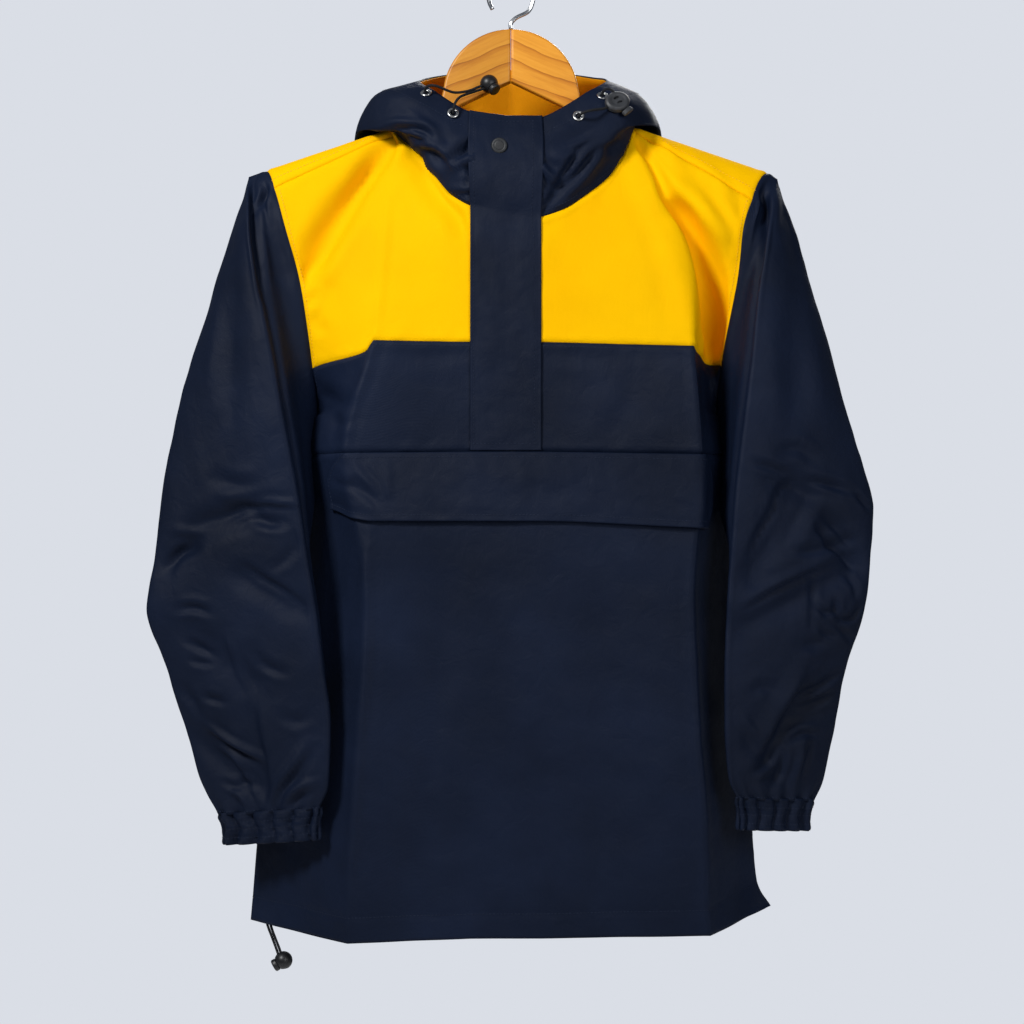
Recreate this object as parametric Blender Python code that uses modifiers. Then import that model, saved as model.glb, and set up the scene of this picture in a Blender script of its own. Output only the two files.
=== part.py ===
"""Anorak pullover with a half zip, a hood and gathered cuffs, on a wooden hanger.

Frame: the origin is the inside top of the hanger's hook, +Z is up, the front of the
garment faces -Y, and "left" is the -X side. Tables are in millimetres and the meshes
in metres. The cloth is one skin of grids (front, back, sleeves, hood) that share the
points of their seams. Each sewn piece is cut out of that skin and given its wall along
the skin's own normals, so that neighbouring walls run side by side at a seam.
"""

import math

import bmesh
import bpy
import numpy as np
from mathutils import Matrix, Vector
from mathutils.geometry import intersect_ray_tri

MM = 0.001

# ---------------------------------------------------------------- driving dimensions
CLOTH = 1.2  # wall of a single piece of cloth
DOUBLE_CLOTH = 1.9  # wall of a faced piece: flap and placket
SEAM_GAP = 0.3  # between two pieces that are sewn together
LAID_GAP = 0.5  # between a panel and what lies on it
FLAP_LIFT = 3.2  # how far the flap's lower edge stands off the front
LINING_WALL = 1.0
GATHERS = 22  # round one cuff
GATHER_DEPTH = 2.1
CUFF_HEIGHT = 27.5
BOARD_THICK = 12.0
BOARD_TOP = -50.0  # top of the boards' dome
WIRE = 3.8  # the hook's wire
HOOK_RADIUS = 19.0  # inside the hook
HOOK_SHANK = 13.0  # straight wire between the hook's bend and the boards
CORD = 2.4  # hood cord and hem cord
EYELET_OUTER = 5.2
EYELET_HOLE = 2.6
SNAP_RADIUS = 7.2
SNAP_X = -10.3  # the snap's place across the placket
SNAP_ROW = 3  # the placket's grid row that it sits on
SNAP_SEAT = 0.95  # its foot stands this far off the placket

# Colours: base colour, roughness, metallic
NAVY = ((0.009, 0.017, 0.037), 0.55, 0.0)
YELLOW = ((1.0, 0.60, 0.0), 0.6, 0.0)
BLACK = ((0.012, 0.012, 0.014), 0.45, 0.0)
WOOD = ((0.62, 0.33, 0.14), 0.5, 0.0)
STEEL = ((0.62, 0.62, 0.64), 0.25, 1.0)

# Number of grid steps between one named row and the next, from the shoulder to the hem
BODY_STEPS = (2, 2, 2, 3, 2, 2, 2, 3, 3, 3, 3, 1)
ARMPIT = 5  # the row where the armhole ends and the side seam starts

# ---------------------------------------------------------------- front
# One row for each level. x and z of the two edges (armhole, then side seam) and the two
# pressed creases, z of the centre, and the depth y of each: edge, crease, centre, crease,
# edge. hollow is how far the cloth between crease and edge falls in (-) or stands out (+).
FRONT_COLUMNS = (
    "x_el x_cl x_cr x_er  z_el z_cl z_ce z_cr z_er  y_el y_cl y_ce y_cr y_er  hollow_l hollow_r"
)
FRONT = (
    # shoulder ridge and neck seam
    (-223, -108, 111, 234, -178, -140, -224, -139, -180, 0, -4, -50, -4, 0, 0, 0),
    # shoulder seam
    (-214, -109, 115, 218, -197, -147, -238, -145, -208, -20, -10, -52, -10, -22, 2, 2),
    # upper chest
    (-201, -112, 139, 209, -240, -215, -258, -213, -234, -30, -34, -53, -34, -30, -3, 3),
    # middle of the armhole
    (-189, -117, 159, 204, -286, -276, -293, -278, -276, -30, -46, -54, -46, -30, 2, -9),
    # yoke seam
    (-179, -122, 162, 190, -360, -337, -339, -342, -357, -20, -51, -55, -50, -20, 4, -11),
    # armpit
    (-176, -136, 165, 187, -400, -387, -388, -388, -400, 3, -54, -55, -53, 3, 5, 0),
    # flap's upper seam
    (-185, -147, 169, 192, -438, -437, -436, -438, -438, 8, -54, -56, -54, 8, 4, 3),
    # flap's lower edge
    (-197, -137, 166, 200, -500, -497, -497, -498, -500, 12, -55, -57, -55, 12, 4, 4),
    # waist
    (-210, -128, 160, 208, -572, -570, -570, -570, -572, 17, -56, -58, -55, 17, 5, 4),
    # below the waist
    (-223, -132, 164, 214, -672, -670, -670, -670, -670, 23, -56, -58, -56, 22, 5, 3),
    # hip
    (-233, -139, 171, 222, -762, -758, -757, -757, -757, 27, -56, -57, -56, 26, 4, 3),
    # stitching of the hem channel
    (-240, -145, 174, 229, -845, -849, -845, -842, -832, 29, -55, -56, -55, 28, 3, 2),
    # hem
    (-242, -145, 177, 241, -867, -872, -867, -865, -853, 30, -54, -56, -54, 26, 3, 2),
)
# The neck seam from the left shoulder round the front to the right shoulder.
# Columns: along (the front's u), x, z, y
NECK = (
    (1.0, -108, -140, -4),
    (1.12, -103, -148, -11),
    (1.3, -83, -167, -18),
    (1.5, -69, -188, -30),
    (1.72, -53, -207, -40),
    (2.0, -36, -217, -47),
    (3.0, -4.2, -224, -50),
    (4.0, 4.2, -225, -50),
    (5.0, 27, -227, -50),
    (5.25, 45, -221, -46),
    (5.5, 69, -205, -38),
    (5.7, 90, -186, -28),
    (5.85, 102, -165, -19),
    (5.93, 108, -148, -12),
    (6.0, 111, -139, -4),
)
# The neck seam from the left shoulder round the back to the right shoulder.
# Columns: along (the back's u), x, z, y
NECK_BACK = (
    (1.0, -108, -140, -4),
    (1.12, -107, -142, 10),
    (1.4, -84, -150, 31),
    (1.7, -42, -157, 41),
    (2.0, 0, -158, 43),
    (2.3, 42, -157, 41),
    (2.6, 85, -150, 31),
    (2.88, 110, -141, 10),
    (3.0, 111, -139, -4),
)
PLACKET_LEFT, PLACKET_RIGHT = -36.0, 27.0  # edges of the placket
ZIP_HALF = 4.2  # half the width of the zip's strip
# Named columns of the front, in u: left edge 0, left crease 1, placket 2, zip 3 and 4,
# placket 5, right crease 6, right edge 7
FRONT_U = np.arange(8.0)
FRONT_STEPS = (5, 4, 1, 1, 1, 4, 5)
ZIP_CELL = (3.0, 4.0)

# ---------------------------------------------------------------- back
# x, y and z of the armhole's back edge, where there is one, then y and z at the shoulder
# blades, the x of the blades, and y and z at the centre. Left and right edges differ only
# as the front's do.
BACK_COLUMNS = "dx_edge y_edge dz_edge  x_blade y_blade z_blade  y_ce z_ce"
BACK = (
    (0, 0, 0, 108, -4, -140, 42, -158),
    (1, 17, 0, 109, 17, -152, 46, -178),
    (-3, 30, 0, 112, 42, -218, 51, -238),
    (-6, 36, 0, 118, 50, -276, 55, -290),
    (-8, 30, 4, 124, 53, -338, 57, -338),
    (0, 3, 0, 130, 54, -390, 57, -390),
    (0, 8, 0, 136, 55, -438, 57, -438),
    (0, 12, 0, 142, 55, -498, 57, -498),
    (0, 17, 0, 148, 56, -570, 58, -570),
    (0, 23, 0, 154, 56, -670, 58, -670),
    (0, 27, 0, 160, 56, -758, 57, -758),
    (0, 29, 0, 166, 55, -844, 56, -845),
    (0, 30, 0, 169, 54, -866, 56, -867),
)
BACK_STEPS = (5, 4, 4, 5)  # edge, blade, centre, blade, edge

# ---------------------------------------------------------------- sleeves
# Outer fold, front crease and, below the armpit, underarm seam of each sleeve: x, y, z.
# back is how far the back of the sleeve stands behind the line from underarm to outer fold.
SLEEVE_COLUMNS = "x_out y_out z_out  x_cr y_cr z_cr  x_in y_in  back"
SLEEVE_LEFT = (
    (-239, 0, -184, -239, 0, -184, 0, 0, 0),
    (-243, -2, -202, -236, -20, -206, 0, 0, 18),
    (-256, -3, -238, -232, -38, -244, 0, 0, 30),
    (-270, -4, -288, -224, -48, -292, 0, 0, 34),
    (-294, -5, -362, -209, -58, -364, 0, 0, 32),
    (-308, -6, -420, -200, -62, -413, 0, 0, 30),
    (-317, -8, -475, -189, -64, -472, -188, -18, 27),
    (-322, -10, -530, -181, -65, -527, -181, -34, 25),
    (-328, -12, -578, -174, -64, -575, -175, -42, 23),
    (-312, -12, -630, -167, -64, -628, -168, -46, 21),
    (-296, -12, -680, -161, -64, -678, -163, -48, 20),
    (-279, -14, -734, -163, -61, -730, -165, -47, 18),
    (-262, -19, -763, -172, -54, -753, -176, -43, 15),
)
SLEEVE_RIGHT = (
    (243, 0, -186, 243, 0, -186, 0, 0, 0),
    (248, -2, -204, 235, -20, -210, 0, 0, 18),
    (260, -3, -240, 230, -38, -247, 0, 0, 30),
    (274, -4, -288, 222, -48, -293, 0, 0, 34),
    (296, -5, -360, 214, -58, -360, 0, 0, 32),
    (311, -6, -420, 207, -62, -413, 0, 0, 30),
    (329, -8, -485, 200, -64, -474, 199, -18, 27),
    (326, -10, -530, 196, -65, -527, 196, -32, 25),
    (319, -12, -580, 193, -64, -577, 194, -38, 23),
    (304, -12, -628, 191, -64, -627, 192, -42, 21),
    (294, -12, -680, 191, -64, -678, 192, -44, 20),
    (282, -14, -732, 194, -61, -724, 196, -44, 18),
    (272, -19, -750, 203, -54, -744, 207, -41, 15),
)
SLEEVE_STEPS = BODY_STEPS[:ARMPIT] + (2, 2, 2, 2, 2, 2, 1)
SLEEVE_ROUND = (2, 2, 3, 2, 2, 3, 2, 2)  # underarm, crease, outer fold, then round the back

# ---------------------------------------------------------------- hood
# Sections of the hood, from the zip round to the middle of the back. Each goes from the
# neck seam through three points of the outer cloth to the rim.
# Columns: along, x1 y1 z1, x2 y2 z2, x3 y3 z3, x_rim y_rim z_rim
HOOD_LEFT = (
    (0.0, -4.2, -53, -203, -4.2, -52, -181, -4.2, -46, -158, -4.2, -38, -136),
    (1.0, -37, -52, -195, -38, -52, -174, -38, -46, -152, -37, -37, -131),
    (1.5, -83, -38, -163, -91, -42, -147, -86, -40, -127, -67, -28, -112),
    (2.0, -118, -5, -133, -140, -2, -143, -123, -4, -110, -83, -3, -97),
    (2.17, -112, 18, -135, -144, 24, -153, -131, 24, -115, -82, 14, -92),
    (2.35, -98, 37, -142, -140, 42, -196, -134, 52, -130, -76, 34, -86),
    (2.7, -56, 52, -149, -98, 82, -270, -92, 100, -176, -48, 66, -75),
    (3.0, 0, 55, -151, 0, 90, -318, 0, 118, -218, 0, 76, -70),
)
HOOD_RIGHT = (
    (0.0, 4.2, -53, -203, 4.2, -52, -181, 4.2, -46, -158, 4.2, -38, -136),
    (1.0, 28, -52, -200, 29, -52, -178, 29, -46, -156, 28, -38, -136),
    (1.5, 84, -38, -163, 90, -42, -147, 85, -40, -129, 66, -30, -114),
    (2.0, 120, -5, -132, 134, -2, -139, 122, -4, -114, 87, -3, -96),
    (2.17, 113, 18, -134, 138, 24, -151, 127, 24, -117, 85, 14, -91),
    (2.35, 98, 37, -141, 134, 42, -196, 128, 52, -132, 78, 34, -86),
    (2.7, 56, 52, -149, 96, 82, -270, 90, 100, -176, 48, 66, -75),
    (3.0, 0, 55, -151, 0, 90, -318, 0, 118, -218, 0, 76, -70),
)
HOOD_STEPS = (3, 2, 3, 2)  # neck seam to rim
LINING_INSET = 1.2  # how far the lining's edge lies inside the rim and the neck seam

# ---------------------------------------------------------------- folds
# Soft troughs (+) and ridges (-) of the front and the sleeves, each along a straight run
# from x, z to x, z, with its half width and its depth.
# Columns: x_from z_from, x_to z_to, half_width, depth
FRONT_FOLDS = (
    (-124, -186, -186, -272, 15, 9),  # left yoke, from the neck to the armhole
    (122, -160, 176, -345, 14, 8),  # right yoke, beside the crease
    (150, -200, 205, -250, 10, -4),
    (-165, -290, -186, -330, 9, 4),
    (-150, -480, -160, -640, 14, 6),
    (182, -470, 190, -640, 12, 6),
    (-180, -660, -196, -850, 14, 5),
    (200, -690, 212, -850, 12, 5),
    (-60, -560, -86, -840, 22, 2.5),
    (70, -600, 96, -840, 24, 2.5),
)
BACK_FOLDS = (
    (-60, -380, -84, -850, 24, 6),
    (34, -420, 50, -850, 26, 6),
    (118, -360, 130, -840, 20, 5),
    (-130, -260, -150, -640, 18, 5),
    (-100, -200, -180, -290, 16, 5),
    (100, -200, 180, -290, 16, 5),
)
SLEEVE_FOLDS = (
    (-254, -225, -262, -252, 9, 5),
    (-270, -500, -214, -492, 11, 6),
    (-318, -540, -290, -520, 11, 7),
    (-236, -548, -192, -574, 11, 5),
    (-292, -690, -236, -728, 12, 6),
    (-286, -600, -232, -640, 14, 4),
    (252, -222, 258, -255, 9, 5),
    (216, -540, 250, -470, 12, 7),
    (288, -505, 314, -538, 12, 8),
    (210, -590, 300, -542, 12, 6),
    (232, -462, 268, -474, 10, 4),
    (222, -700, 236, -722, 10, 5),
    (250, -676, 284, -668, 12, 5),
)

# ---------------------------------------------------------------- small pieces
# Eyelets on the hood: the side, and where along the hood's grid (along, share of section)
EYELETS = (
    ("eyelet_left_upper", "left", 1.56, 0.93),
    ("eyelet_left_lower", "left", 1.20, 0.885),
    ("eyelet_right_upper", "right", 1.60, 0.89),
    ("eyelet_right_lower", "right", 1.31, 0.805),
)
# Ball-shaped cord locks: centre, the way the plunger points, the way the cord runs in, and
# the way from the first strand to the second
BALL_LOCKS = {
    "hood_lock_left": ((-19.7, -17, -102.5), (0.58, -0.45, -0.68), (0.88, 0.30, 0.36), (0, 0, -1)),
    "hem_lock": ((-208.5, 10, -900.5), (-0.86, -0.1, -0.50), (0.34, -0.1, -0.93), (1, 0, 0)),
}
BALL_RADIUS = 8.2
BALL_BORE = 2.9
BORE_OFFSET = 1.5  # the bore runs beside the middle, on the plunger's side
STRAND_SPACE = 1.35  # from the bore's middle line to each strand
# The flat oval lock on the right: centre, its face's direction, its long axis
OVAL_LOCK = ((95.0, -39.4, -123.5), (0.17, -0.87, 0.46), (0.79, 0.0, 0.61))
OVAL_RADIUS = 10.0
OVAL_STRETCH = 1.18
OVAL_HALF_THICK = 3.5
OVAL_BORE = 1.65
OVAL_SIDE_WAY = (0.45, 0.0, -0.90)  # the way the upper strand runs in
# Cords between an eyelet, or the hem, and the lock: the points that each passes
CORD_ROUTES = {
    "hood_cord_left_upper": (
        (-61, -33.5, -112.6),
        (-51, -32, -113.6),
        (-42, -28, -112.0),
        (-34.5, -23.0, -109.0),
    ),
    "hood_cord_left_lower": ((-47.7, -40, -121.4), (-42, -33.5, -116.0), (-35.0, -26.0, -112.2)),
    "hood_cord_right_lower": ((70, -47.5, -132.5), (78, -48.0, -131.6)),
    "hood_cord_right_upper": (),
    "hem_cord_front": ((-226, 19.0, -861), (-224.6, 18, -868), (-219.5, 15.5, -881)),
    "hem_cord_back": ((-222.5, 19.5, -862), (-221.4, 18.5, -869), (-216.5, 15.5, -882)),
}


# ---------------------------------------------------------------- curves and tables
def column(table, columns, name):
    """One named column of a table."""
    return np.array([row[columns.split().index(name)] for row in table], float)


def through(knots, values, at):
    """A smooth curve through values at knots, with no overshoot between them."""
    knots, values, at = (np.asarray(a, float) for a in (knots, values, at))
    flat = values.reshape(len(knots), -1)
    step = np.diff(knots)[:, None]
    rise = np.diff(flat, axis=0) / step
    slope = np.zeros_like(flat)
    slope[0], slope[-1] = rise[0], rise[-1]
    before, after = rise[:-1], rise[1:]
    same_way = before * after > 0
    both = np.where(same_way, before + after, 1.0)
    slope[1:-1] = np.where(same_way, 2 * before * after / both, 0.0)
    cell = np.clip(np.searchsorted(knots, at, side="right") - 1, 0, len(knots) - 2)
    width = step[cell]
    t = (at[:, None] - knots[cell][:, None]) / width
    start, end = flat[cell], flat[cell + 1]
    bend_in, bend_out = slope[cell] * width, slope[cell + 1] * width
    found = (
        (2 * t**3 - 3 * t**2 + 1) * start
        + (t**3 - 2 * t**2 + t) * bend_in
        + (3 * t**2 - 2 * t**3) * end
        + (t**3 - t**2) * bend_out
    )
    return found.reshape((len(at),) + values.shape[1:])


def steps(counts):
    """Grid places 0..n with so many equal steps between one whole number and the next."""
    places = [0.0]
    for start, count in enumerate(counts):
        places += [start + (i + 1) / count for i in range(count)]
    return np.array(places)


def fold_depth(x, z, folds):
    """How deep the folds of a table are at x, z."""
    depth = np.zeros(np.shape(x))
    for x_from, z_from, x_to, z_to, half_width, height in folds:
        run = np.array([x_to - x_from, z_to - z_from], float)
        length = math.hypot(*run)
        run /= length
        along = (x - x_from) * run[0] + (z - z_from) * run[1]
        aside = (x - x_from) * run[1] - (z - z_from) * run[0]
        past = np.maximum(np.maximum(-along, along - length), 0)
        depth += height * np.exp(-(aside**2 + 0.5 * past**2) / half_width**2)
    return depth


# ---------------------------------------------------------------- the skin's grids
def front_grid(u, v):
    """Points of the front: rows for v (shoulder to hem), columns for u (left to right)."""
    get = lambda name: column(FRONT, FRONT_COLUMNS, name)
    levels = len(FRONT)
    full = lambda value: np.full(levels, float(value))
    x = np.stack(
        [
            get("x_el"),
            get("x_cl"),
            full(PLACKET_LEFT),
            full(-ZIP_HALF),
            full(ZIP_HALF),
            full(PLACKET_RIGHT),
            get("x_cr"),
            get("x_er"),
        ],
        axis=1,
    )
    z = np.stack([get("z_el"), get("z_cl")] + [get("z_ce")] * 4 + [get("z_cr"), get("z_er")], 1)
    y = np.stack([get("y_el"), get("y_cl")] + [get("y_ce")] * 4 + [get("y_cr"), get("y_er")], 1)
    rows = np.zeros((levels, len(u), 3))
    for level in range(levels):
        for axis, named in enumerate((x, y, z)):
            rows[level, :, axis] = np.interp(u, FRONT_U, named[level])
    left, right = np.clip(u, 0, 1), np.clip(u - 6, 0, 1)
    bow = np.outer(get("hollow_l"), 4 * left * (1 - left))
    bow += np.outer(get("hollow_r"), 4 * right * (1 - right))
    rows[:, :, 1] -= bow
    neck = through([row[0] for row in NECK], [row[1:] for row in NECK], u)[:, [0, 2, 1]]
    inside = (u > 1) & (u < 6)
    rows[0, inside] = neck[inside]
    seam = 0.72 * neck + 0.28 * rows[2]
    rows[1, inside] = seam[inside]
    grid = over_shoulder(rows, v, ~inside)
    depth = fold_depth(grid[:, :, 0], grid[:, :, 2], FRONT_FOLDS)
    grid[:, :, 1] += depth * hold(u, v, 7.0)
    return grid


def over_shoulder(rows, v, shoulder):
    """Levels joined smoothly; on the shoulders the cloth first goes out and then down."""
    levels = range(len(rows))
    grid = through(levels, rows, v)
    late = np.where(v < 1, np.clip(v, 0, 1) ** 1.7, v)
    grid[:, shoulder, 2] = through(levels, rows, late)[:, shoulder, 2]
    return grid


def hold(u, v, last):
    """Keeps folds off the edges that other grids share: 0 there, 1 inside."""
    across = np.clip(np.minimum(u, last - u) / 0.35, 0, 1)
    down = np.clip(v / 0.8, 0, 1)
    return np.outer(down**2 * (3 - 2 * down), across**2 * (3 - 2 * across))


def back_grid(u, v):
    """Points of the back, u from the left edge 0 over the centre 2 to the right edge 4."""
    get = lambda name: column(BACK, BACK_COLUMNS, name)
    edges = front_edges(np.arange(len(FRONT), dtype=float))
    rows = np.zeros((len(BACK), len(u), 3))
    for level in range(len(BACK)):
        left, right = edges[level, 0].copy(), edges[level, 1].copy()
        if level < ARMPIT:
            left += (-get("dx_edge")[level], 0, get("dz_edge")[level])
            right += (get("dx_edge")[level], 0, get("dz_edge")[level])
            left[1] = right[1] = get("y_edge")[level]
        blade = np.array([get("x_blade")[level], get("y_blade")[level], get("z_blade")[level]])
        centre = (0, get("y_ce")[level], get("z_ce")[level])
        blade_left = blade * (-1, 1, 1)
        blade_right = blade.copy()
        named = np.array([left, blade_left, centre, blade_right, right])
        rows[level] = through(range(5), named, u)
    ridge = (u <= 1) | (u >= 3)
    rows[0] = through([row[0] for row in NECK_BACK], [row[1:] for row in NECK_BACK], u)[:, [0, 2, 1]]
    rows[0, ridge] = ridge_points(u[ridge])
    grid = over_shoulder(rows, v, ridge)
    side_seam = v >= ARMPIT
    for place, edge in ((0.0, 0), (4.0, 1)):
        grid[np.ix_(side_seam, u == place)] = front_edges(v[side_seam])[:, edge][:, None]
    depth = fold_depth(grid[:, :, 0], grid[:, :, 2], BACK_FOLDS)
    grid[:, :, 1] -= depth * hold(u, v, 4.0)
    return grid


def front_edges(v):
    """The front's two side edges at v: left and right."""
    return front_grid(np.array([0.0, 7.0]), v)


def ridge_points(u):
    """The shoulder ridge at the back's u, the same points as the front's top row."""
    return front_grid(np.where(u <= 1, u, u + 3), np.array([0.0]))[0]


def sleeve_grid(side, w, q):
    """Points of a sleeve: rows for q (shoulder to wrist), columns for w.

    w goes from the armhole's front edge or the underarm seam 0, over the front crease 2
    and the outer fold 4, round the back to 8.
    """
    table = SLEEVE_LEFT if side == "left" else SLEEVE_RIGHT
    edge_u = 0.0 if side == "left" else 7.0
    back_u = 0.0 if side == "left" else 4.0
    get = lambda *names: np.stack([column(table, SLEEVE_COLUMNS, n) for n in names], 1)
    levels = range(len(table))
    out = through(levels, get("x_out", "y_out", "z_out"), q)
    crease = through(levels, get("x_cr", "y_cr", "z_cr"), q)
    inner = get("x_in", "y_in", "z_cr")
    inner[:, 2] = 0.5 * (get("z_cr")[:, 0] + get("z_out")[:, 0])
    inner[ARMPIT] = front_edges(np.array([float(ARMPIT)]))[0, 0 if side == "left" else 1]
    below = through(range(ARMPIT, len(table)), inner[ARMPIT:], np.maximum(q, ARMPIT))
    above = np.minimum(q, ARMPIT)
    armhole_front = front_grid(np.array([edge_u]), above)[:, 0]
    armhole_back = back_grid(np.array([back_u]), above)[:, 0]
    is_above = (q < ARMPIT)[:, None]
    start = np.where(is_above, armhole_front, below)
    end = np.where(is_above, armhole_back, below)
    back = through(levels, get("back"), q)
    behind = np.array([0, 1, 0])
    stations = np.stack(
        [
            start,
            0.5 * (start + crease) + behind * -0.06 * back,
            crease,
            0.5 * (crease + out) - behind * 0.28 * back,
            out,
            out + 0.22 * (end - out) + behind * 0.75 * back,
            out + 0.50 * (end - out) + behind * 1.0 * back,
            out + 0.80 * (end - out) + behind * 0.72 * back,
            end,
        ],
        axis=0,
    )
    grid = np.moveaxis(rounded(np.arange(9.0), stations, w), 0, 1)
    outward = np.where(w <= 4, 1.0, -0.7)
    depth = fold_depth(grid[:, :, 0], grid[:, :, 2], SLEEVE_FOLDS)
    across = np.clip(np.minimum(w, 8 - w) / 0.8, 0, 1) * np.clip(np.abs(w - 4) / 0.5, 0, 1)
    ends = np.clip(np.minimum(q - 0.5, len(table) - 1 - q) / 0.8, 0, 1)
    grid[:, :, 1] += depth * np.outer(ends, across * outward)
    if q[-1] == len(table) - 1:
        slope = (crease[-1] - out[-1])[2] / (crease[-1] - out[-1])[0]
        grid[-1, :, 2] = out[-1, 2] + slope * (grid[-1, :, 0] - out[-1, 0])
    if q[0] == 0:
        share = (np.minimum(w, 8 - w) / 4)[:, None]
        grid[0] = armhole_front[0] + share * (out[0] - armhole_front[0])
    return grid


def rounded(knots, values, at):
    """A smooth curve through values, allowed to swing round corners (Catmull-Rom)."""
    slope = np.gradient(values, axis=0)
    cell = np.clip(np.searchsorted(knots, at, side="right") - 1, 0, len(knots) - 2)
    t = (at - knots[cell]).reshape((-1,) + (1,) * (values.ndim - 1))
    return (
        (2 * t**3 - 3 * t**2 + 1) * values[cell]
        + (t**3 - 2 * t**2 + t) * slope[cell]
        + (3 * t**2 - 2 * t**3) * values[cell + 1]
        + (t**3 - t**2) * slope[cell + 1]
    )


def neck_seam(side, along):
    """The neck seam at the hood's place along: 0 at the zip, 2 on the shoulder, 3 behind."""
    left = side == "left"
    front_u = 3 - np.minimum(along, 2) if left else 4 + np.minimum(along, 2)
    back_u = np.maximum(along, 2) - 1 if left else 5 - np.maximum(along, 2)
    front = front_grid(front_u, np.array([0.0]))[0]
    back = back_grid(back_u, np.array([0.0]))[0]
    return np.where((along <= 2)[:, None], front, back)


def hood_grid(side, along, share):
    """Points of half a hood: rows for share (neck seam to rim), columns for along."""
    table = HOOD_LEFT if side == "left" else HOOD_RIGHT
    points = np.array([row[1:] for row in table], float).reshape(len(table), 4, 3)
    found = through([row[0] for row in table], points, along)
    seam = neck_seam(side, along)
    stations = np.concatenate([seam[None], np.moveaxis(found, 1, 0)], axis=0)
    return rounded(np.arange(5.0), stations, 4 * share)


# ---------------------------------------------------------------- the skin
class Skin:
    """Points, and faces that each belong to a named piece; equal points are one point."""

    def __init__(self):
        self.points = []
        self.index = {}
        self.pieces = {}
        self.grids = []

    def point(self, place):
        key = tuple(np.round(place, 3))
        if key not in self.index:
            self.index[key] = len(self.points)
            self.points.append(np.array(place, float))
        return self.index[key]

    def add_grid(self, grid, piece_of, flip=False):
        """Two triangles for each cell, given to the piece that piece_of names."""
        rows, columns = grid.shape[:2]
        self.grids.append([])
        numbers = [[self.point(grid[r, c]) for c in range(columns)] for r in range(rows)]
        for r in range(rows - 1):
            for c in range(columns - 1):
                name = piece_of(r, c)
                if name is None:
                    continue
                corners = [
                    numbers[r][c],
                    numbers[r + 1][c],
                    numbers[r + 1][c + 1],
                    numbers[r][c + 1],
                ]
                if flip:
                    corners.reverse()
                self.add_cell(name, corners)

    def add_cell(self, name, corners):
        a, b, c, d = (self.points[i] for i in corners)
        one = ((0, 1, 2), (0, 2, 3))
        other = ((0, 1, 3), (1, 2, 3))
        split = one if np.linalg.norm(a - c) <= np.linalg.norm(b - d) else other
        for triangle in split:
            chosen = tuple(corners[i] for i in triangle)
            if len(set(chosen)) == 3:
                self.pieces.setdefault(name, []).append(chosen)
                self.grids[-1].append(chosen)

    def finish(self):
        """The direction out of the cloth at each point; at a seam, halfway between its sides."""
        self.points = np.array(self.points)
        self.normals = np.zeros_like(self.points)
        for faces in self.grids:
            self.normals += unit_normals(self.points, np.array(faces))
        self.normals /= np.linalg.norm(self.normals, axis=1, keepdims=True)


def unit_normals(points, faces):
    """One grid's own direction out at each of its points, of length 1."""
    normals = np.zeros_like(points)
    a, b, c = (points[faces[:, i]] for i in range(3))
    area = np.cross(b - a, c - a)
    for i in range(3):
        np.add.at(normals, faces[:, i], area)
    length = np.linalg.norm(normals, axis=1, keepdims=True)
    return normals / np.where(length > 0, length, 1)


def border_edges(faces):
    """Edges that one triangle alone has, in that triangle's direction."""
    edges = [(f[i], f[(i + 1) % 3]) for f in faces for i in range(3)]
    there = set(edges)
    return [edge for edge in edges if (edge[1], edge[0]) not in there]


def wall(points, normals, faces, thick, lift=0.0, inset=SEAM_GAP / 2):
    """A closed wall: its outer side lift above the skin, drawn in a little at its border.

    The wall's border cells are split the same way on both sides of a seam.
    """
    faces = [tuple(int(i) for i in f) for f in faces]
    used = sorted({i for f in faces for i in f})
    place = {i: n for n, i in enumerate(used)}
    pull = {}
    for a, b in border_edges(faces):
        run = points[b] - points[a]
        run = run / np.linalg.norm(run)
        for i in (a, b):
            inward = np.cross(normals[i], run)
            pull[i] = pull.get(i, 0) + inward / np.linalg.norm(inward)
    outer = []
    for i in used:
        at = points[i] + normals[i] * lift
        if i in pull:
            inward = pull[i] / max(np.linalg.norm(pull[i]), 1e-6)
            reach = np.clip(2 / max(np.linalg.norm(pull[i]), 1e-6), 1, 1.6)
            at = at + inward * inset * reach
        outer.append(at)
    inner = [at - normals[i] * thick for at, i in zip(outer, used)]
    count = len(used)
    mesh_faces = [tuple(place[i] for i in f) for f in faces]
    mesh_faces += [tuple(place[i] + count for i in reversed(f)) for f in faces]
    for a, b in border_edges(faces):
        near, far = place[a], place[b]
        if a < b:
            mesh_faces += [(far, near, far + count), (near, near + count, far + count)]
        else:
            mesh_faces += [(far, near, near + count), (far, near + count, far + count)]
    return outer + inner, mesh_faces


# ---------------------------------------------------------------- Blender objects
def clear_scene():
    for item in list(bpy.data.objects):
        bpy.data.objects.remove(item, do_unlink=True)


def collection(name, hidden=False):
    made = bpy.data.collections.new(name)
    bpy.context.scene.collection.children.link(made)
    made.hide_render = hidden
    return made


def material(name, look):
    colour, roughness, metallic = look
    made = bpy.data.materials.new(name)
    made.use_nodes = True
    shader = made.node_tree.nodes["Principled BSDF"]
    shader.inputs["Base Color"].default_value = (*colour, 1)
    shader.inputs["Roughness"].default_value = roughness
    shader.inputs["Metallic"].default_value = metallic
    made.diffuse_color = (*colour, 1)
    return made


def add_object(name, data, look, where):
    item = bpy.data.objects.new(name, data)
    where.objects.link(item)
    item.data.materials.append(material(name, look))
    return item


def add_mesh(name, points, faces, look, where):
    """A mesh object from points in millimetres."""
    mesh = bpy.data.meshes.new(name)
    mesh.from_pydata([tuple(np.asarray(p) * MM) for p in points], [], faces)
    mesh.update()
    mesh.shade_smooth()
    mesh.set_sharp_from_angle(angle=math.radians(50))
    return add_object(name, mesh, look, where)


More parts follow.
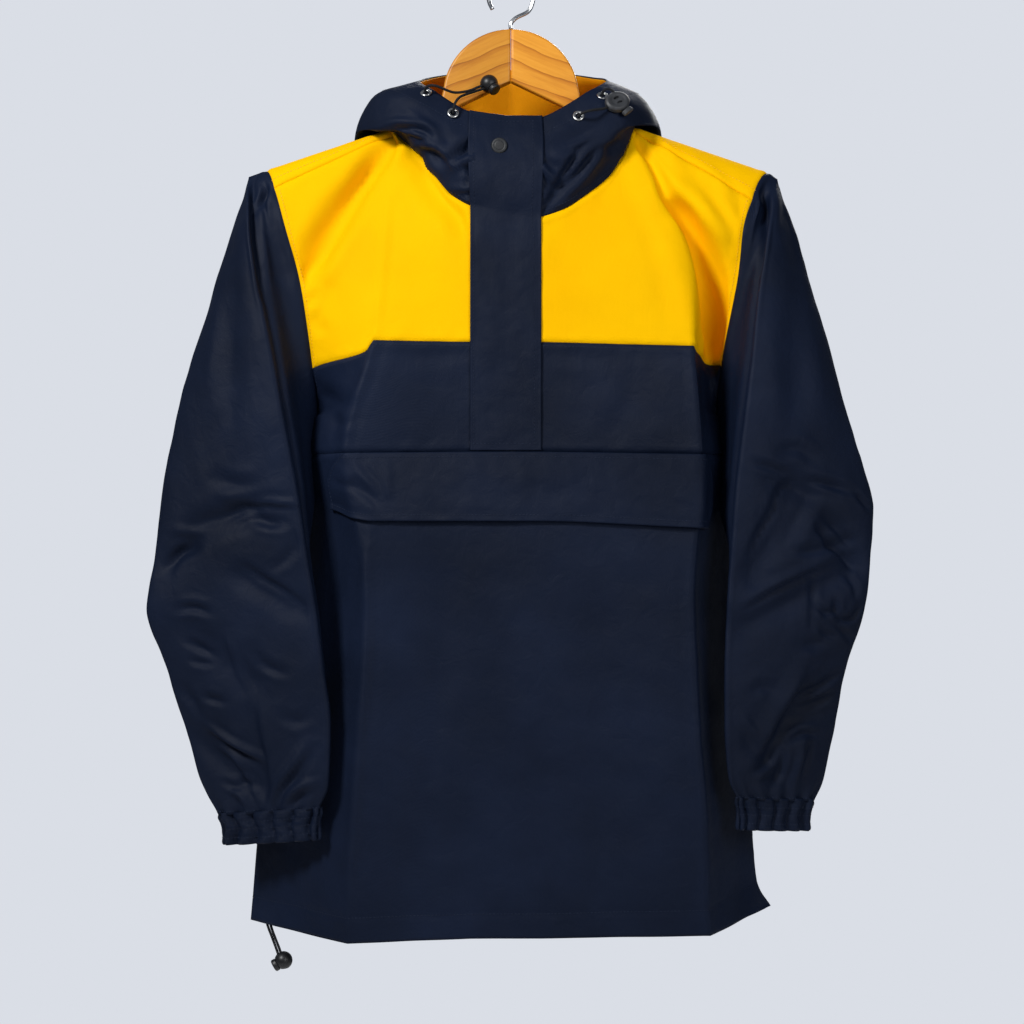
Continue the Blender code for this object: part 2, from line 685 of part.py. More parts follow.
# ---------------------------------------------------------------- garment
def build_skin():
    """All the cloth that is one layer: front, back, sleeves and hood."""
    skin = Skin()
    v = steps(BODY_STEPS)
    u = steps(FRONT_STEPS)
    rows_at = {level: sum(BODY_STEPS[:level]) for level in range(len(FRONT))}

    def front_piece(r, c):
        middle = 1.0 <= u[c] < 6.0
        if ZIP_CELL[0] <= u[c] < ZIP_CELL[1] and r < rows_at[6]:
            return "front_zip"
        side = "left" if u[c] < ZIP_CELL[0] else "right"
        if r < rows_at[1] and not middle:
            return "back_yoke"
        if r < rows_at[4]:
            return "front_yoke_" + side
        if r < rows_at[6]:
            return "front_chest_" + side
        return "front_lower"

    def back_piece(r, c):
        return "back_yoke" if r < rows_at[4] else "back_lower"

    skin.add_grid(front_grid(u, v), front_piece)
    skin.add_grid(back_grid(steps(BACK_STEPS), v), back_piece, flip=True)
    for side in ("left", "right"):
        grid = sleeve_grid(side, steps(SLEEVE_ROUND), steps(SLEEVE_STEPS))
        skin.add_grid(grid, lambda r, c: "sleeve_" + side, flip=side == "left")
        grid = hood_grid(side, hood_along(), hood_share())
        skin.add_grid(grid, lambda r, c: "hood_" + side, flip=side == "right")
    skin.add_grid(zip_collar(), lambda r, c: "front_zip")
    skin.finish()
    return skin


def hood_along():
    """Places along the hood that match the front's and the back's columns at the neck."""
    front = steps((FRONT_STEPS[2], FRONT_STEPS[1]))
    back = 2 + steps((BACK_STEPS[1],))
    return np.concatenate([front, back[1:]])


def hood_share():
    """Shares of the hood's section, 0 at the neck seam and 1 at the rim."""
    return steps(HOOD_STEPS) / len(HOOD_STEPS)


def neck_seam_points(side):
    """The points of the hood's first row, where it is sewn to the neck."""
    return hood_grid(side, hood_along(), np.array([0.0]))[0]


def zip_collar():
    """The zip's strip in the collar, between the hood's two front edges, rim first."""
    start = np.array([0.0])
    left = hood_grid("left", start, hood_share())[:, 0]
    right = hood_grid("right", start, hood_share())[:, 0]
    return np.stack([left, right], axis=1)[::-1]


LOOKS = {
    "front_zip": BLACK,
    "back_yoke": YELLOW,
    "front_yoke_left": YELLOW,
    "front_yoke_right": YELLOW,
}


def build_cloth(skin, where):
    for name, faces in skin.pieces.items():
        points, mesh_faces = wall(skin.points, skin.normals, faces, CLOTH)
        add_mesh(name, points, mesh_faces, LOOKS.get(name, NAVY), where)


def build_laid(name, grid, lift_top, lift_bottom, where, look=NAVY):
    """A piece that lies on a panel: the panel's points moved out, more at its lower edge."""
    laid = Skin()
    laid.add_grid(grid, lambda r, c: name)
    laid.finish()
    rows = grid.shape[0]
    lift = {}
    for r in range(rows):
        share = r / (rows - 1)
        for place in grid[r]:
            lift[laid.point(place)] = lift_top + (lift_bottom - lift_top) * share**0.7
    raised = laid.points.copy()
    for i, height in lift.items():
        raised[i] = laid.points[i] + laid.normals[i] * (height + DOUBLE_CLOTH)
    points, faces = wall(raised, laid.normals, laid.pieces[name], DOUBLE_CLOTH, inset=0.0)
    add_mesh(name, points, faces, look, where)


def placket_grid():
    """The panel under the placket: the collar from the rim down, then the front."""
    share = hood_share()
    left = hood_grid("left", np.array([1.0, 0.0]), share)
    right = hood_grid("right", np.array([0.0, 1.0]), share)
    collar = np.concatenate([left, right], axis=1)[::-1]
    v = steps(BODY_STEPS[:6])
    front = front_grid(np.array([2.0, 3.0, 4.0, 5.0]), v)
    grid = np.concatenate([collar[:-1], front], axis=0)
    grid[-1, :, 2] += 1.2
    return grid


def flap_grid():
    """The panel under the flap, a little wider than the two creases."""
    u = steps(FRONT_STEPS)
    u = u[(u > 0.75) & (u < 6.25)]
    v = steps(BODY_STEPS)
    v = v[(v >= 6) & (v <= 7)]
    v = np.append(v, 7.18)
    return front_grid(u, v)


def build_lining(skin, where):
    """The yellow lining, inside the outer cloth of the whole hood."""
    seam = {skin.point(place) for side in ("left", "right") for place in neck_seam_points(side)}
    faces = skin.pieces["hood_left"] + skin.pieces["hood_right"]
    faces = [face for face in faces if not seam.intersection(face)]
    points, faces = wall(
        skin.points,
        skin.normals,
        faces,
        LINING_WALL,
        lift=-(CLOTH + SEAM_GAP),
        inset=LINING_INSET,
    )
    add_mesh("hood_lining", points, faces, YELLOW, where)


def build_cuff(side, where):
    """The gathered cuff: the sleeve's end ring carried down, pushed in and out."""
    around = np.linspace(0, 8, 4 * GATHERS + 1)[:-1]
    end = float(len(SLEEVE_LEFT) - 1)
    ring = sleeve_grid(side, around, np.array([end]))[0]
    centre = ring.mean(axis=0)
    spread = ring - centre
    spread[:, 2] *= 0.98
    outward = spread * (1, 1, 0)
    outward /= np.linalg.norm(outward, axis=1, keepdims=True)
    down = np.array([0.03 if side == "left" else -0.02, 0.02, -1.0])
    wave = np.array([math.sin(2 * math.pi * i / 4) for i in range(len(around))])
    levels = ((SEAM_GAP, 1.0, 0.3), (6, 0.97, 1), (18, 0.95, 1), (CUFF_HEIGHT, 0.93, 0.8))
    rows = []
    for drop, size, depth in levels:
        row = centre + spread * size + down * drop
        row += outward * (wave * depth * GATHER_DEPTH * 0.5)[:, None]
        rows.append(np.concatenate([row, row[:1]]))
    cuff = Skin()
    cuff.add_grid(np.array(rows), lambda r, c: "cuff_" + side, flip=side == "left")
    cuff.finish()
    points, faces = wall(cuff.points, cuff.normals, cuff.pieces["cuff_" + side], CLOTH, inset=0)
    add_mesh("cuff_" + side, points, faces, NAVY, where)


# ---------------------------------------------------------------- hanger
def board_outline(side):
    """Half of the hanger, from the joint at the middle to the end of the arm."""
    dome = [(-62 * math.sin(a), -112 + 62 * math.cos(a)) for a in np.radians(range(0, 76, 15))]
    upper = [(-63, -112), (-70, -120), (-84, -131), (-104, -144.8)]
    lower = [(-205, -198), (-160, -187), (-112, -168), (-84, -146), (-46, -120), (0, -98)]
    end = [(-208, -181), (-214, -186), (-212, -194)]
    ridge = [(-120, -149.6), (-140, -156.2), (-180, -170)]
    outline = np.array(dome + upper + ridge + end + lower)
    outline[:, 0] = np.minimum(outline[:, 0], -SEAM_GAP / 2)
    if side == "right":
        outline[:, 0] *= -1
    return outline


def build_board(side, where):
    """One board: a flat outline, filled on both sides, with its edges rounded over."""
    data = bpy.data.curves.new("hanger_board_" + side, "CURVE")
    data.dimensions = "2D"
    data.fill_mode = "BOTH"
    round_over = 2.4
    data.extrude = (BOARD_THICK / 2 - round_over) * MM
    data.bevel_depth = round_over * MM
    data.bevel_resolution = 1
    data.offset = -round_over * MM
    line = data.splines.new("POLY")
    outline = board_outline(side)
    line.points.add(len(outline) - 1)
    for point, (x, z) in zip(line.points, outline):
        point.co = (x * MM, z * MM, 0, 1)
    line.use_cyclic_u = True
    item = add_object("hanger_board_" + side, data, WOOD, where)
    item.rotation_euler = (math.radians(90), 0, 0)
    return item


def cord_object(name, route, radius, look, where, resolution=2, spacing=5.0):
    """A round tube along a smooth curve through every point of the route."""
    places = smooth_route(np.array(route, float), spacing)
    data = bpy.data.curves.new(name, "CURVE")
    data.dimensions = "3D"
    data.bevel_depth = radius * MM
    data.bevel_resolution = resolution
    data.use_fill_caps = True
    line = data.splines.new("POLY")
    line.points.add(len(places) - 1)
    for point, place in zip(line.points, places):
        point.co = (*(place * MM), 1)
    return add_object(name, data, look, where)


def smooth_route(route, spacing):
    """Points of a curve that bends gently through the route's own points."""
    reach = np.concatenate([[0], np.cumsum(np.linalg.norm(np.diff(route, axis=0), axis=1))])
    slope = np.zeros_like(route)
    slope[1:-1] = (route[2:] - route[:-2]) / (reach[2:] - reach[:-2])[:, None]
    slope[0] = (route[1] - route[0]) / reach[1]
    slope[-1] = (route[-1] - route[-2]) / (reach[-1] - reach[-2])
    places = [route[0]]
    for n in range(len(route) - 1):
        width = reach[n + 1] - reach[n]
        parts = max(1, round(width / spacing))
        for i in range(parts):
            t = (i + 1) / parts
            places.append(
                (2 * t**3 - 3 * t**2 + 1) * route[n]
                + (t**3 - 2 * t**2 + t) * slope[n] * width
                + (3 * t**2 - 2 * t**3) * route[n + 1]
                + (t**3 - t**2) * slope[n + 1] * width
            )
    return np.array(places)


def build_hook(where):
    """The wire hook: a bend of most of a circle over the origin, and a straight shank."""
    radius = HOOK_RADIUS + WIRE / 2
    middle = (0.0, -HOOK_RADIUS)
    route = []
    for angle in range(-35, 181, 20):
        a = math.radians(angle)
        route.append((-radius * math.cos(a) * 0.98, 0, middle[1] + radius * math.sin(a)))
    lead = [(radius * 0.80, 0, middle[1] - radius * 0.62), (3.0, 0, middle[1] - radius * 1.02)]
    foot = middle[1] - radius - HOOK_SHANK + 4
    route += lead + [(0, 0, foot + 5), (0, 0, BOARD_TOP + SEAM_GAP)]
    return cord_object("hanger_hook", route, WIRE / 2, STEEL, where)


# ---------------------------------------------------------------- small pieces
def hood_place(skin, side, along, share):
    """A point on the hood's own facets, and the direction out of the facet it is on."""
    step = 0.02
    near = hood_grid(side, np.array([along - step, along, along + step]), np.array([share]))[0]
    up = hood_grid(side, np.array([along]), np.array([share - step, share + step]))[:, 0]
    out = np.cross(up[1] - up[0], near[2] - near[0])
    out = Vector(unit(out if side == "left" else -out))
    above = 20.0
    start = Vector(near[1]) + out * above
    hits = []
    for face in skin.pieces["hood_" + side]:
        corners = [Vector(skin.points[i]) for i in face]
        hit = intersect_ray_tri(*corners, -out, start, True)
        if hit:
            facing = (corners[1] - corners[0]).cross(corners[2] - corners[0]).normalized()
            hits.append(((hit - start).length, hit, facing))
    _, hit, facing = min(hits, key=lambda found: abs(found[0] - above))
    return np.array(hit), np.array(facing)


def unit(direction):
    direction = np.array(direction, float)
    return direction / np.linalg.norm(direction)


def frame_of(axis, along=None):
    """A turn that takes +Z to axis, and +X as near to along as it can be."""
    up = Vector(axis).normalized()
    near = Vector(along or ((1, 0, 0) if abs(up.x) < 0.9 else (0, 0, 1)))
    side = (near - up * near.dot(up)).normalized()
    return Matrix((side, up.cross(side), up)).transposed()


def place_object(item, place, axis, along=None, stretch=(1, 1, 1)):
    item.rotation_mode = "QUATERNION"
    item.rotation_quaternion = frame_of(axis, along).to_quaternion()
    item.location = [c * MM for c in place]
    item.scale = stretch


def turned_piece(name, profile, look, where, sides=16):
    """A turned piece round its own Z: profile of (radius, height) pairs, top first."""
    mesh = bpy.data.meshes.new(name)
    points = [(r * MM, 0, h * MM) for r, h in profile]
    edges = [(i, i + 1) for i in range(len(points) - 1)]
    if profile[0][0] > 0:
        edges.append((len(points) - 1, 0))
    mesh.from_pydata(points, edges, [])
    item = add_object(name, mesh, look, where)
    screw = item.modifiers.new("turn", "SCREW")
    screw.angle = math.tau
    screw.steps = screw.render_steps = sides
    screw.use_merge_vertices = True
    screw.merge_threshold = 1e-5
    return item


def build_eyelet(skin, name, side, along, share, where):
    """A rolled metal ring on the cloth; returns where it sits and the way it faces."""
    place, out = hood_place(skin, side, along, share)
    middle = (EYELET_OUTER + EYELET_HOLE) / 2
    half = (EYELET_OUTER - EYELET_HOLE) / 2
    profile = [
        (middle + half * math.cos(a), 1.1 + 0.75 * math.sin(a))
        for a in np.radians(range(90, -270, -60))
    ]
    seat = place + out * 0.25
    place_object(turned_piece(name, profile, STEEL, where), seat, out)
    return place, out


def build_snap(where):
    """The snap's cap, on the placket."""
    grid = placket_grid()
    row = grid[SNAP_ROW]
    share = (SNAP_X - row[0, 0]) / (row[3, 0] - row[0, 0])
    place = row[1] * (1 - share) + row[2] * share
    place[0] = SNAP_X
    along = grid[SNAP_ROW - 1, 1] - grid[SNAP_ROW + 1, 1]
    out = unit(np.cross(np.array([1.0, 0, 0]), along))
    seat = place + out * (LAID_GAP + DOUBLE_CLOTH + SNAP_SEAT)
    radius = SNAP_RADIUS
    profile = [
        (0, 2.6),
        (radius * 0.5, 2.5),
        (radius * 0.62, 2.0),
        (radius * 0.9, 1.9),
        (radius, 1.0),
        (radius, 0),
        (0, 0),
    ]
    place_object(turned_piece("placket_snap", profile, BLACK, where), seat, out)


def bore(item, place, axis, radius, length, where):
    """Cuts a round hole through a piece, with a cylinder kept as a hidden cutter."""
    name = item.name + "_cutter_%d" % len(item.modifiers)
    mesh = bpy.data.meshes.new(name)
    made = bmesh.new()
    bmesh.ops.create_cone(
        made,
        cap_ends=True,
        segments=10,
        radius1=radius * MM,
        radius2=radius * MM,
        depth=length * MM,
    )
    made.to_mesh(mesh)
    made.free()
    cutter = bpy.data.objects.new(name, mesh)
    where.objects.link(cutter)
    place_object(cutter, place, axis)
    cutter.hide_render = True
    cutter.display_type = "WIRE"
    cut = item.modifiers.new("bore_%d" % len(item.modifiers), "BOOLEAN")
    cut.object = cutter
    cut.solver = "EXACT"


def build_ball_lock(name, parts, cutters):
    """A round cord lock and its plunger; returns where each of its two strands runs in."""
    centre, axis, way, apart = BALL_LOCKS[name]
    centre, axis, way = np.array(centre), unit(axis), unit(way)
    r = BALL_RADIUS
    body_profile = [
        (0, 0.62 * r),
        (0.56 * r, 0.62 * r),
        (0.56 * r, 0.75 * r),
        (0.66 * r, 0.75 * r),
        (0.87 * r, 0.5 * r),
        (r, 0),
        (0.87 * r, -0.5 * r),
        (0.5 * r, -0.87 * r),
        (0, -r),
    ]
    body = turned_piece(name, body_profile, BLACK, parts, sides=14)
    place_object(body, centre, axis)
    middle = centre + axis * BORE_OFFSET
    bore(body, middle, way, BALL_BORE, 3 * r, cutters)
    head, stem, recess = 0.68 * r, 0.5 * r, 0.13 * r
    plunger_profile = [
        (0, recess + 4.2),
        (head - 0.6, recess + 4.2),
        (head, recess + 3.6),
        (head, recess),
        (stem, recess),
        (stem, 0),
        (0, 0),
    ]
    plunger = turned_piece(name + "_plunger", plunger_profile, BLACK, parts, sides=12)
    place_object(plunger, centre + axis * (0.62 * r + SEAM_GAP), axis)
    apart = np.array(apart, float)
    apart = unit(apart - way * apart.dot(way)) * STRAND_SPACE
    ends = []
    for side in (-1, 1):
        line = middle + apart * side
        ends.append([line - way * (r + 4), line - way * (r - 1), line + way * 1.0])
    return ends


def build_oval_lock(name, parts, cutters):
    """The flat oval cord lock with its ribbed grip; returns where its strands run in."""
    centre, face, along = OVAL_LOCK
    centre, face = np.array(centre), unit(face)
    half, r = OVAL_HALF_THICK, OVAL_RADIUS
    profile = [(0, half), (r - 1.6, half), (r, half - 1.6), (r, 1.6 - half)]
    profile += [(r - 1.6, -half), (0, -half)]
    body = turned_piece(name, profile, BLACK, parts, sides=18)
    place_object(body, centre, face, along, (OVAL_STRETCH, 1, 1))
    ends = []
    for way in (along, OVAL_SIDE_WAY):
        way = np.array(way)
        way = unit(way - face * way.dot(face))
        bore(body, centre - way * (r - 1), way, OVAL_BORE, r, cutters)
        ends.append([centre - way * (r + 5), centre - way * (r + 1), centre - way * 5.5])
    for side in (-1, 1):
        across = unit(np.cross(face, ends[0][1] - centre)) * 2.6 * side
        slot = centre + across + face * half
        bore(body, slot, face, 1.5, 3.0, cutters)
    grip_way = np.array([0.62, 0.0, -0.75])
    grip_way = unit(grip_way - face * grip_way.dot(face))
    grip_profile = [(0, 3.8), (5.4, 3.8), (5.9, 3.2), (5.3, 2.6), (5.9, 2.0), (5.3, 1.4), (5.9, 0.8)]
    grip_profile += [(5.3, 0), (0, 0)]
    grip = turned_piece(name + "_grip", grip_profile, BLACK, parts, sides=12)
    seat = centre + grip_way * (r * 1.06 + SEAM_GAP)
    place_object(grip, seat, grip_way, tuple(np.cross(face, grip_way)), (1, 0.48, 1))
    return ends


def from_eyelet(place, out, toward):
    """A cord's first points: out of the eyelet's hole and over its rim, toward a point."""
    way = np.array(toward, float) - place
    way = unit(way - out * way.dot(out))
    over = place + out * 4.6
    return [place + out * 0.35, place + out * 2.6, over + way * 1.8, over + way * 4.6]


def build_cord(name, points, where):
    return cord_object(name, points, CORD / 2, BLACK, where, resolution=1)


def build_small_pieces(skin, parts, cutters):
    seats = {row[0][7:]: build_eyelet(skin, *row, parts) for row in EYELETS}
    build_snap(parts)
    ends = {}
    left = build_ball_lock("hood_lock_left", parts, cutters)
    ends["hood_cord_left_upper"], ends["hood_cord_left_lower"] = left
    hem = build_ball_lock("hem_lock", parts, cutters)
    ends["hem_cord_front"], ends["hem_cord_back"] = hem
    right = build_oval_lock("hood_lock_right", parts, cutters)
    ends["hood_cord_right_lower"], ends["hood_cord_right_upper"] = right
    for name, passes in CORD_ROUTES.items():
        points = [np.array(place, float) for place in passes] + ends[name]
        eyelet = name.replace("hood_cord_", "")
        if eyelet in seats:
            points = from_eyelet(*seats[eyelet], points[0]) + points
        build_cord(name, points, parts)


def main():
    clear_scene()
    parts = collection("anorak_pullover")
    cutters = collection("cutters", hidden=True)
    skin = build_skin()
    build_cloth(skin, parts)
    build_lining(skin, parts)
    for side in ("left", "right"):
        build_cuff(side, parts)
        build_board(side, parts)
    build_laid("placket", placket_grid(), LAID_GAP, LAID_GAP, parts)
    build_laid("pocket_flap", flap_grid(), LAID_GAP, FLAP_LIFT, parts)
    build_hook(parts)
    build_small_pieces(skin, parts, cutters)


main()
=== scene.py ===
# %% [markdown]
# # Anorak pullover on a wooden hanger
#
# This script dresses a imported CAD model. The model gives the sizes and the place of each
# sewn piece; here each piece gets its real surface: woven cloth with creases, stitches,
# gathered cuffs, eyelets, cords and a varnished hanger. The scene is in metres and the
# tables are in millimetres; +Z is up, the garment's front faces -Y, left and right are the
# viewer's, and the origin is the inside top of the hanger's hook.

# %% Load the frame
import math

import bmesh
import bpy
import numpy as np
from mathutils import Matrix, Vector
from mathutils.kdtree import KDTree


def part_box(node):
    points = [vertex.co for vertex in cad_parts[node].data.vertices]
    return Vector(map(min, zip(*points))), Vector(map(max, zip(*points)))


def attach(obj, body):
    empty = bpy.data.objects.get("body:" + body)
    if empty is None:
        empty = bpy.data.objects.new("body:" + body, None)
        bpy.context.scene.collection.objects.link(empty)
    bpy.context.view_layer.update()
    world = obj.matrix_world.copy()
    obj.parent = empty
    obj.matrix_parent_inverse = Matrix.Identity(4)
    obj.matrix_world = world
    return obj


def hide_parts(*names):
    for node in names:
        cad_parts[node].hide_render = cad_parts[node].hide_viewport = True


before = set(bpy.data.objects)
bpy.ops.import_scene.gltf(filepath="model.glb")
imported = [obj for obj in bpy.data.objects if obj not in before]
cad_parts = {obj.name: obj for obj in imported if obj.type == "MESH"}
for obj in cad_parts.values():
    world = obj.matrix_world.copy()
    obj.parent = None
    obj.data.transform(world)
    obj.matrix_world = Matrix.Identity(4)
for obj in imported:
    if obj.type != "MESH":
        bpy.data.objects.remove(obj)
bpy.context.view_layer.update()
MM = 0.001
print("CAD nodes:", len(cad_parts))

# %% [markdown]
# ## Camera and light
#
# A garment on a hanger is usually looked at square on, from about two metres. The camera
# stands level with the middle of the garment. A world of pale grey gives the soft light of
# a bright room; a small area light from the upper left makes the folds readable, a wider and
# weaker one on the right keeps the dark cloth from going flat, and a third lights the rims.

# %% Camera
camera_data = bpy.data.cameras.new("camera")
camera_data.sensor_width = 36
camera_data.lens = 71.5
camera_data.clip_end = 50
camera = bpy.data.objects.new("camera", camera_data)
camera.location = (0.001, -1.855, -0.4895)
camera.rotation_euler = (math.radians(90), 0, 0)
bpy.context.scene.collection.objects.link(camera)
bpy.context.scene.camera = camera


# %% World, floor and lights
def linear(red, green, blue):
    """A colour given in display values 0..255, as the linear values that shaders take."""
    wide = [c / 255 for c in (red, green, blue)]
    return tuple(c / 12.92 if c <= 0.04045 else ((c + 0.055) / 1.055) ** 2.4 for c in wide)


world = bpy.data.worlds.new("pale room")
world.use_nodes = True
room = world.node_tree
seen, lit = room.nodes["Background"], room.nodes.new("ShaderNodeBackground")
seen.inputs["Color"].default_value = (*linear(218, 222, 230), 1)
lit.inputs["Color"].default_value = (*linear(206, 214, 230), 1)
lit.inputs["Strength"].default_value = 0.18  # the room's walls light the cloth less than lamps do
mix, rays = room.nodes.new("ShaderNodeMixShader"), room.nodes.new("ShaderNodeLightPath")
room.links.new(rays.outputs["Is Camera Ray"], mix.inputs["Fac"])
room.links.new(lit.outputs[0], mix.inputs[1])
room.links.new(seen.outputs[0], mix.inputs[2])
room.links.new(mix.outputs[0], room.nodes["World Output"].inputs["Surface"])
bpy.context.scene.world = world
bpy.context.scene.view_settings.view_transform = "Standard"

FLOOR_Z = -1.9
FLOOR_RADIUS = 3.4
disc = bmesh.new()
bmesh.ops.create_circle(disc, cap_ends=True, segments=96, radius=FLOOR_RADIUS)
bmesh.ops.translate(disc, verts=disc.verts, vec=(0, 0, FLOOR_Z))
floor_mesh = bpy.data.meshes.new("floor")
disc.to_mesh(floor_mesh)
disc.free()
floor = bpy.data.objects.new("floor", floor_mesh)
bpy.context.scene.collection.objects.link(floor)
floor_paint = bpy.data.materials.new("pale floor")
floor_paint.use_nodes = True
floor_shader = floor_paint.node_tree.nodes["Principled BSDF"]
floor_shader.inputs["Base Color"].default_value = (0.9, 0.9, 0.9, 1)
floor_shader.inputs["Roughness"].default_value = 0.9
floor_mesh.materials.append(floor_paint)


def area_light(name, place, aim, width, height, power):
    """A white lamp of width by height metres and power watts at place, turned to aim."""
    data = bpy.data.lights.new(name, "AREA")
    data.shape = "RECTANGLE"
    data.size, data.size_y, data.energy = width, height, power
    lamp = bpy.data.objects.new(name, data)
    lamp.location = place
    way = Vector(aim) - Vector(place)
    lamp.rotation_euler = way.to_track_quat("-Z", "Y").to_euler()
    bpy.context.scene.collection.objects.link(lamp)


area_light("window", (-1.2, -1.5, 0.85), (0, 0, -0.35), width=0.45, height=0.45, power=45)
area_light("fill", (1.3, -2.0, 0.1), (0.1, 0, -0.5), width=1.0, height=1.0, power=19)
area_light("rim", (0.6, 1.9, 0.9), (0, 0, -0.4), width=1.4, height=1.0, power=44)
print("camera, floor and three lights made")

# %% [markdown]
# ## The garment's shape
#
# A sewn garment is a set of panels that meet along seams. The easiest way to keep the
# seams shut is to describe the shape once, as smooth surfaces with named places (edge,
# crease, placket, zip; shoulder, yoke seam, armpit, hem), and to cut every panel out of
# them. The tables below give those places in millimetres, one row for each level.


# %% Curves through tables
def column(table, columns, name):
    """One named column of a table."""
    return np.array([row[columns.split().index(name)] for row in table], float)


def hermite(t, start, end, slope_in, slope_out):
    """The cubic from start to end that has these slopes at its ends, at t from 0 to 1."""
    return (
        (2 * t**3 - 3 * t**2 + 1) * start
        + (t**3 - 2 * t**2 + t) * slope_in
        + (3 * t**2 - 2 * t**3) * end
        + (t**3 - t**2) * slope_out
    )


def cell_of(knots, at):
    """The number of the knot before each place."""
    return np.clip(np.searchsorted(knots, at, side="right") - 1, 0, len(knots) - 2)


def through(knots, values, at):
    """A smooth curve through values at knots, with no overshoot between them."""
    knots, values, at = (np.asarray(a, float) for a in (knots, values, at))
    flat = values.reshape(len(knots), -1)
    step = np.diff(knots)[:, None]
    rise = np.diff(flat, axis=0) / step
    slope = np.zeros_like(flat)
    slope[0], slope[-1] = rise[0], rise[-1]
    before, after = rise[:-1], rise[1:]
    same_way = before * after > 0
    both = np.where(same_way, before + after, 1.0)
    slope[1:-1] = np.where(same_way, 2 * before * after / both, 0.0)
    cell = cell_of(knots, at)
    width = step[cell]
    t = (at[:, None] - knots[cell][:, None]) / width
    found = hermite(t, flat[cell], flat[cell + 1], slope[cell] * width, slope[cell + 1] * width)
    return found.reshape((len(at),) + values.shape[1:])


def rounded(knots, values, at):
    """A smooth curve through values that may swing round corners."""
    slope = np.gradient(values, axis=0)
    cell = cell_of(knots, at)
    t = (at - knots[cell]).reshape((-1,) + (1,) * (values.ndim - 1))
    return hermite(t, values[cell], values[cell + 1], slope[cell], slope[cell + 1])


def ease(x):
    """0 below 0, 1 above 1, and a soft S between."""
    x = np.clip(x, 0, 1)
    return x * x * (3 - 2 * x)


# %% [markdown]
# The front is measured across (u) and down (v). Across: left edge 0, pressed crease 1,
# placket 2, zip 3 and 4, placket 5, crease 6, right edge 7. Down: shoulder 0, shoulder
# seam 1, yoke seam 4, armpit 5, flap 6 to 7, hem stitching 11, hem 12.

# %% Front
# x, y, z at the edges (e), the creases (c) and the centre; l: left, r: right; hollow: how
# far the cloth beyond a crease sags back
FRONT_COLUMNS = (
    "x_el x_cl x_cr x_er  z_el z_cl z_ce z_cr z_er  y_el y_cl y_ce y_cr y_er  hollow_l hollow_r"
)
FRONT = (
    # shoulder ridge and neck seam
    (-223, -108, 111, 234, -178, -140, -224, -139, -180, 0, -4, -50, -4, 0, 0, 0),
    # shoulder seam
    (-214, -109, 115, 218, -197, -147, -238, -145, -208, -20, -10, -52, -10, -22, 2, 2),
    # upper chest
    (-201, -112, 139, 209, -240, -215, -258, -213, -234, -30, -34, -53, -34, -30, -3, -3),
    # middle of the armhole
    (-189, -117, 159, 204, -286, -276, -293, -278, -276, -30, -46, -54, -46, -24, 2, -20),
    # yoke seam
    (-179, -122, 162, 190, -360, -337, -339, -342, -357, -20, -51, -55, -50, -8, 4, -24),
    # armpit
    (-176, -136, 165, 187, -400, -387, -388, -388, -400, 3, -54, -55, -53, 3, 5, -8),
    # flap's upper seam
    (-194, -147, 169, 201, -438, -437, -436, -438, -438, 8, -54, -56, -54, 8, 4, 3),
    # flap's lower edge
    (-201, -137, 166, 207, -500, -497, -497, -498, -500, 12, -55, -57, -55, 12, 4, 4),
    # waist
    (-210, -128, 160, 208, -572, -570, -570, -570, -572, 17, -56, -58, -55, 17, 5, 4),
    # below the waist
    (-223, -132, 164, 214, -672, -670, -670, -670, -670, 23, -56, -58, -56, 22, 5, 3),
    # hip
    (-233, -139, 171, 222, -762, -758, -757, -757, -757, 27, -56, -57, -56, 26, 4, 3),
    # stitching of the hem channel
    (-240, -145, 174, 229, -845, -849, -845, -842, -832, 29, -55, -56, -55, 28, 3, 2),
    # hem
    (-242, -145, 177, 241, -867, -872, -867, -865, -853, 30, -54, -56, -54, 26, 3, 2),
)

# %% Neck
# along, x, z, y
NECK = (
    (1.0, -108, -140, -4),
    (1.12, -103, -148, -11),
    (1.3, -83, -167, -18),
    (1.5, -69, -188, -30),
    (1.72, -53, -207, -40),
    (2.0, -36, -217, -47),
    (3.0, -4.2, -224, -50),
    (4.0, 4.2, -225, -50),
    (5.0, 27, -227, -50),
    (5.25, 45, -221, -46),
    (5.5, 69, -205, -38),
    (5.7, 90, -186, -28),
    (5.85, 102, -165, -19),
    (5.93, 108, -148, -12),
    (6.0, 111, -139, -4),
)
# along, x, z, y
NECK_BACK = (
    (1.0, -108, -140, -4),
    (1.12, -107, -142, 10),
    (1.4, -84, -150, 31),
    (1.7, -42, -157, 41),
    (2.0, 0, -158, 43),
    (2.3, 42, -157, 41),
    (2.6, 85, -150, 31),
    (2.88, 110, -141, 10),
    (3.0, 111, -139, -4),
)
PLACKET_LEFT, PLACKET_RIGHT, ZIP_HALF = -36.0, 27.0, 4.2
YOKE_SEAM = 4
ARMPIT = 5  # the level where the armhole ends and the side seam starts
SEAM_STEP = 7  # how far the yoke seam steps down where the cloth is folded back


# %% Broad folds
def fold_depth(x, z, folds):
    """How deep the broad folds of a table are at x, z."""
    depth = np.zeros(np.shape(x))
    for x_from, z_from, x_to, z_to, half_width, height in folds:
        run = np.array([x_to - x_from, z_to - z_from], float)
        length = math.hypot(*run)
        run /= length
        along = (x - x_from) * run[0] + (z - z_from) * run[1]
        aside = (x - x_from) * run[1] - (z - z_from) * run[0]
        past = np.maximum(np.maximum(-along, along - length), 0)
        depth += height * np.exp(-(aside**2 + 0.5 * past**2) / half_width**2)
    return depth


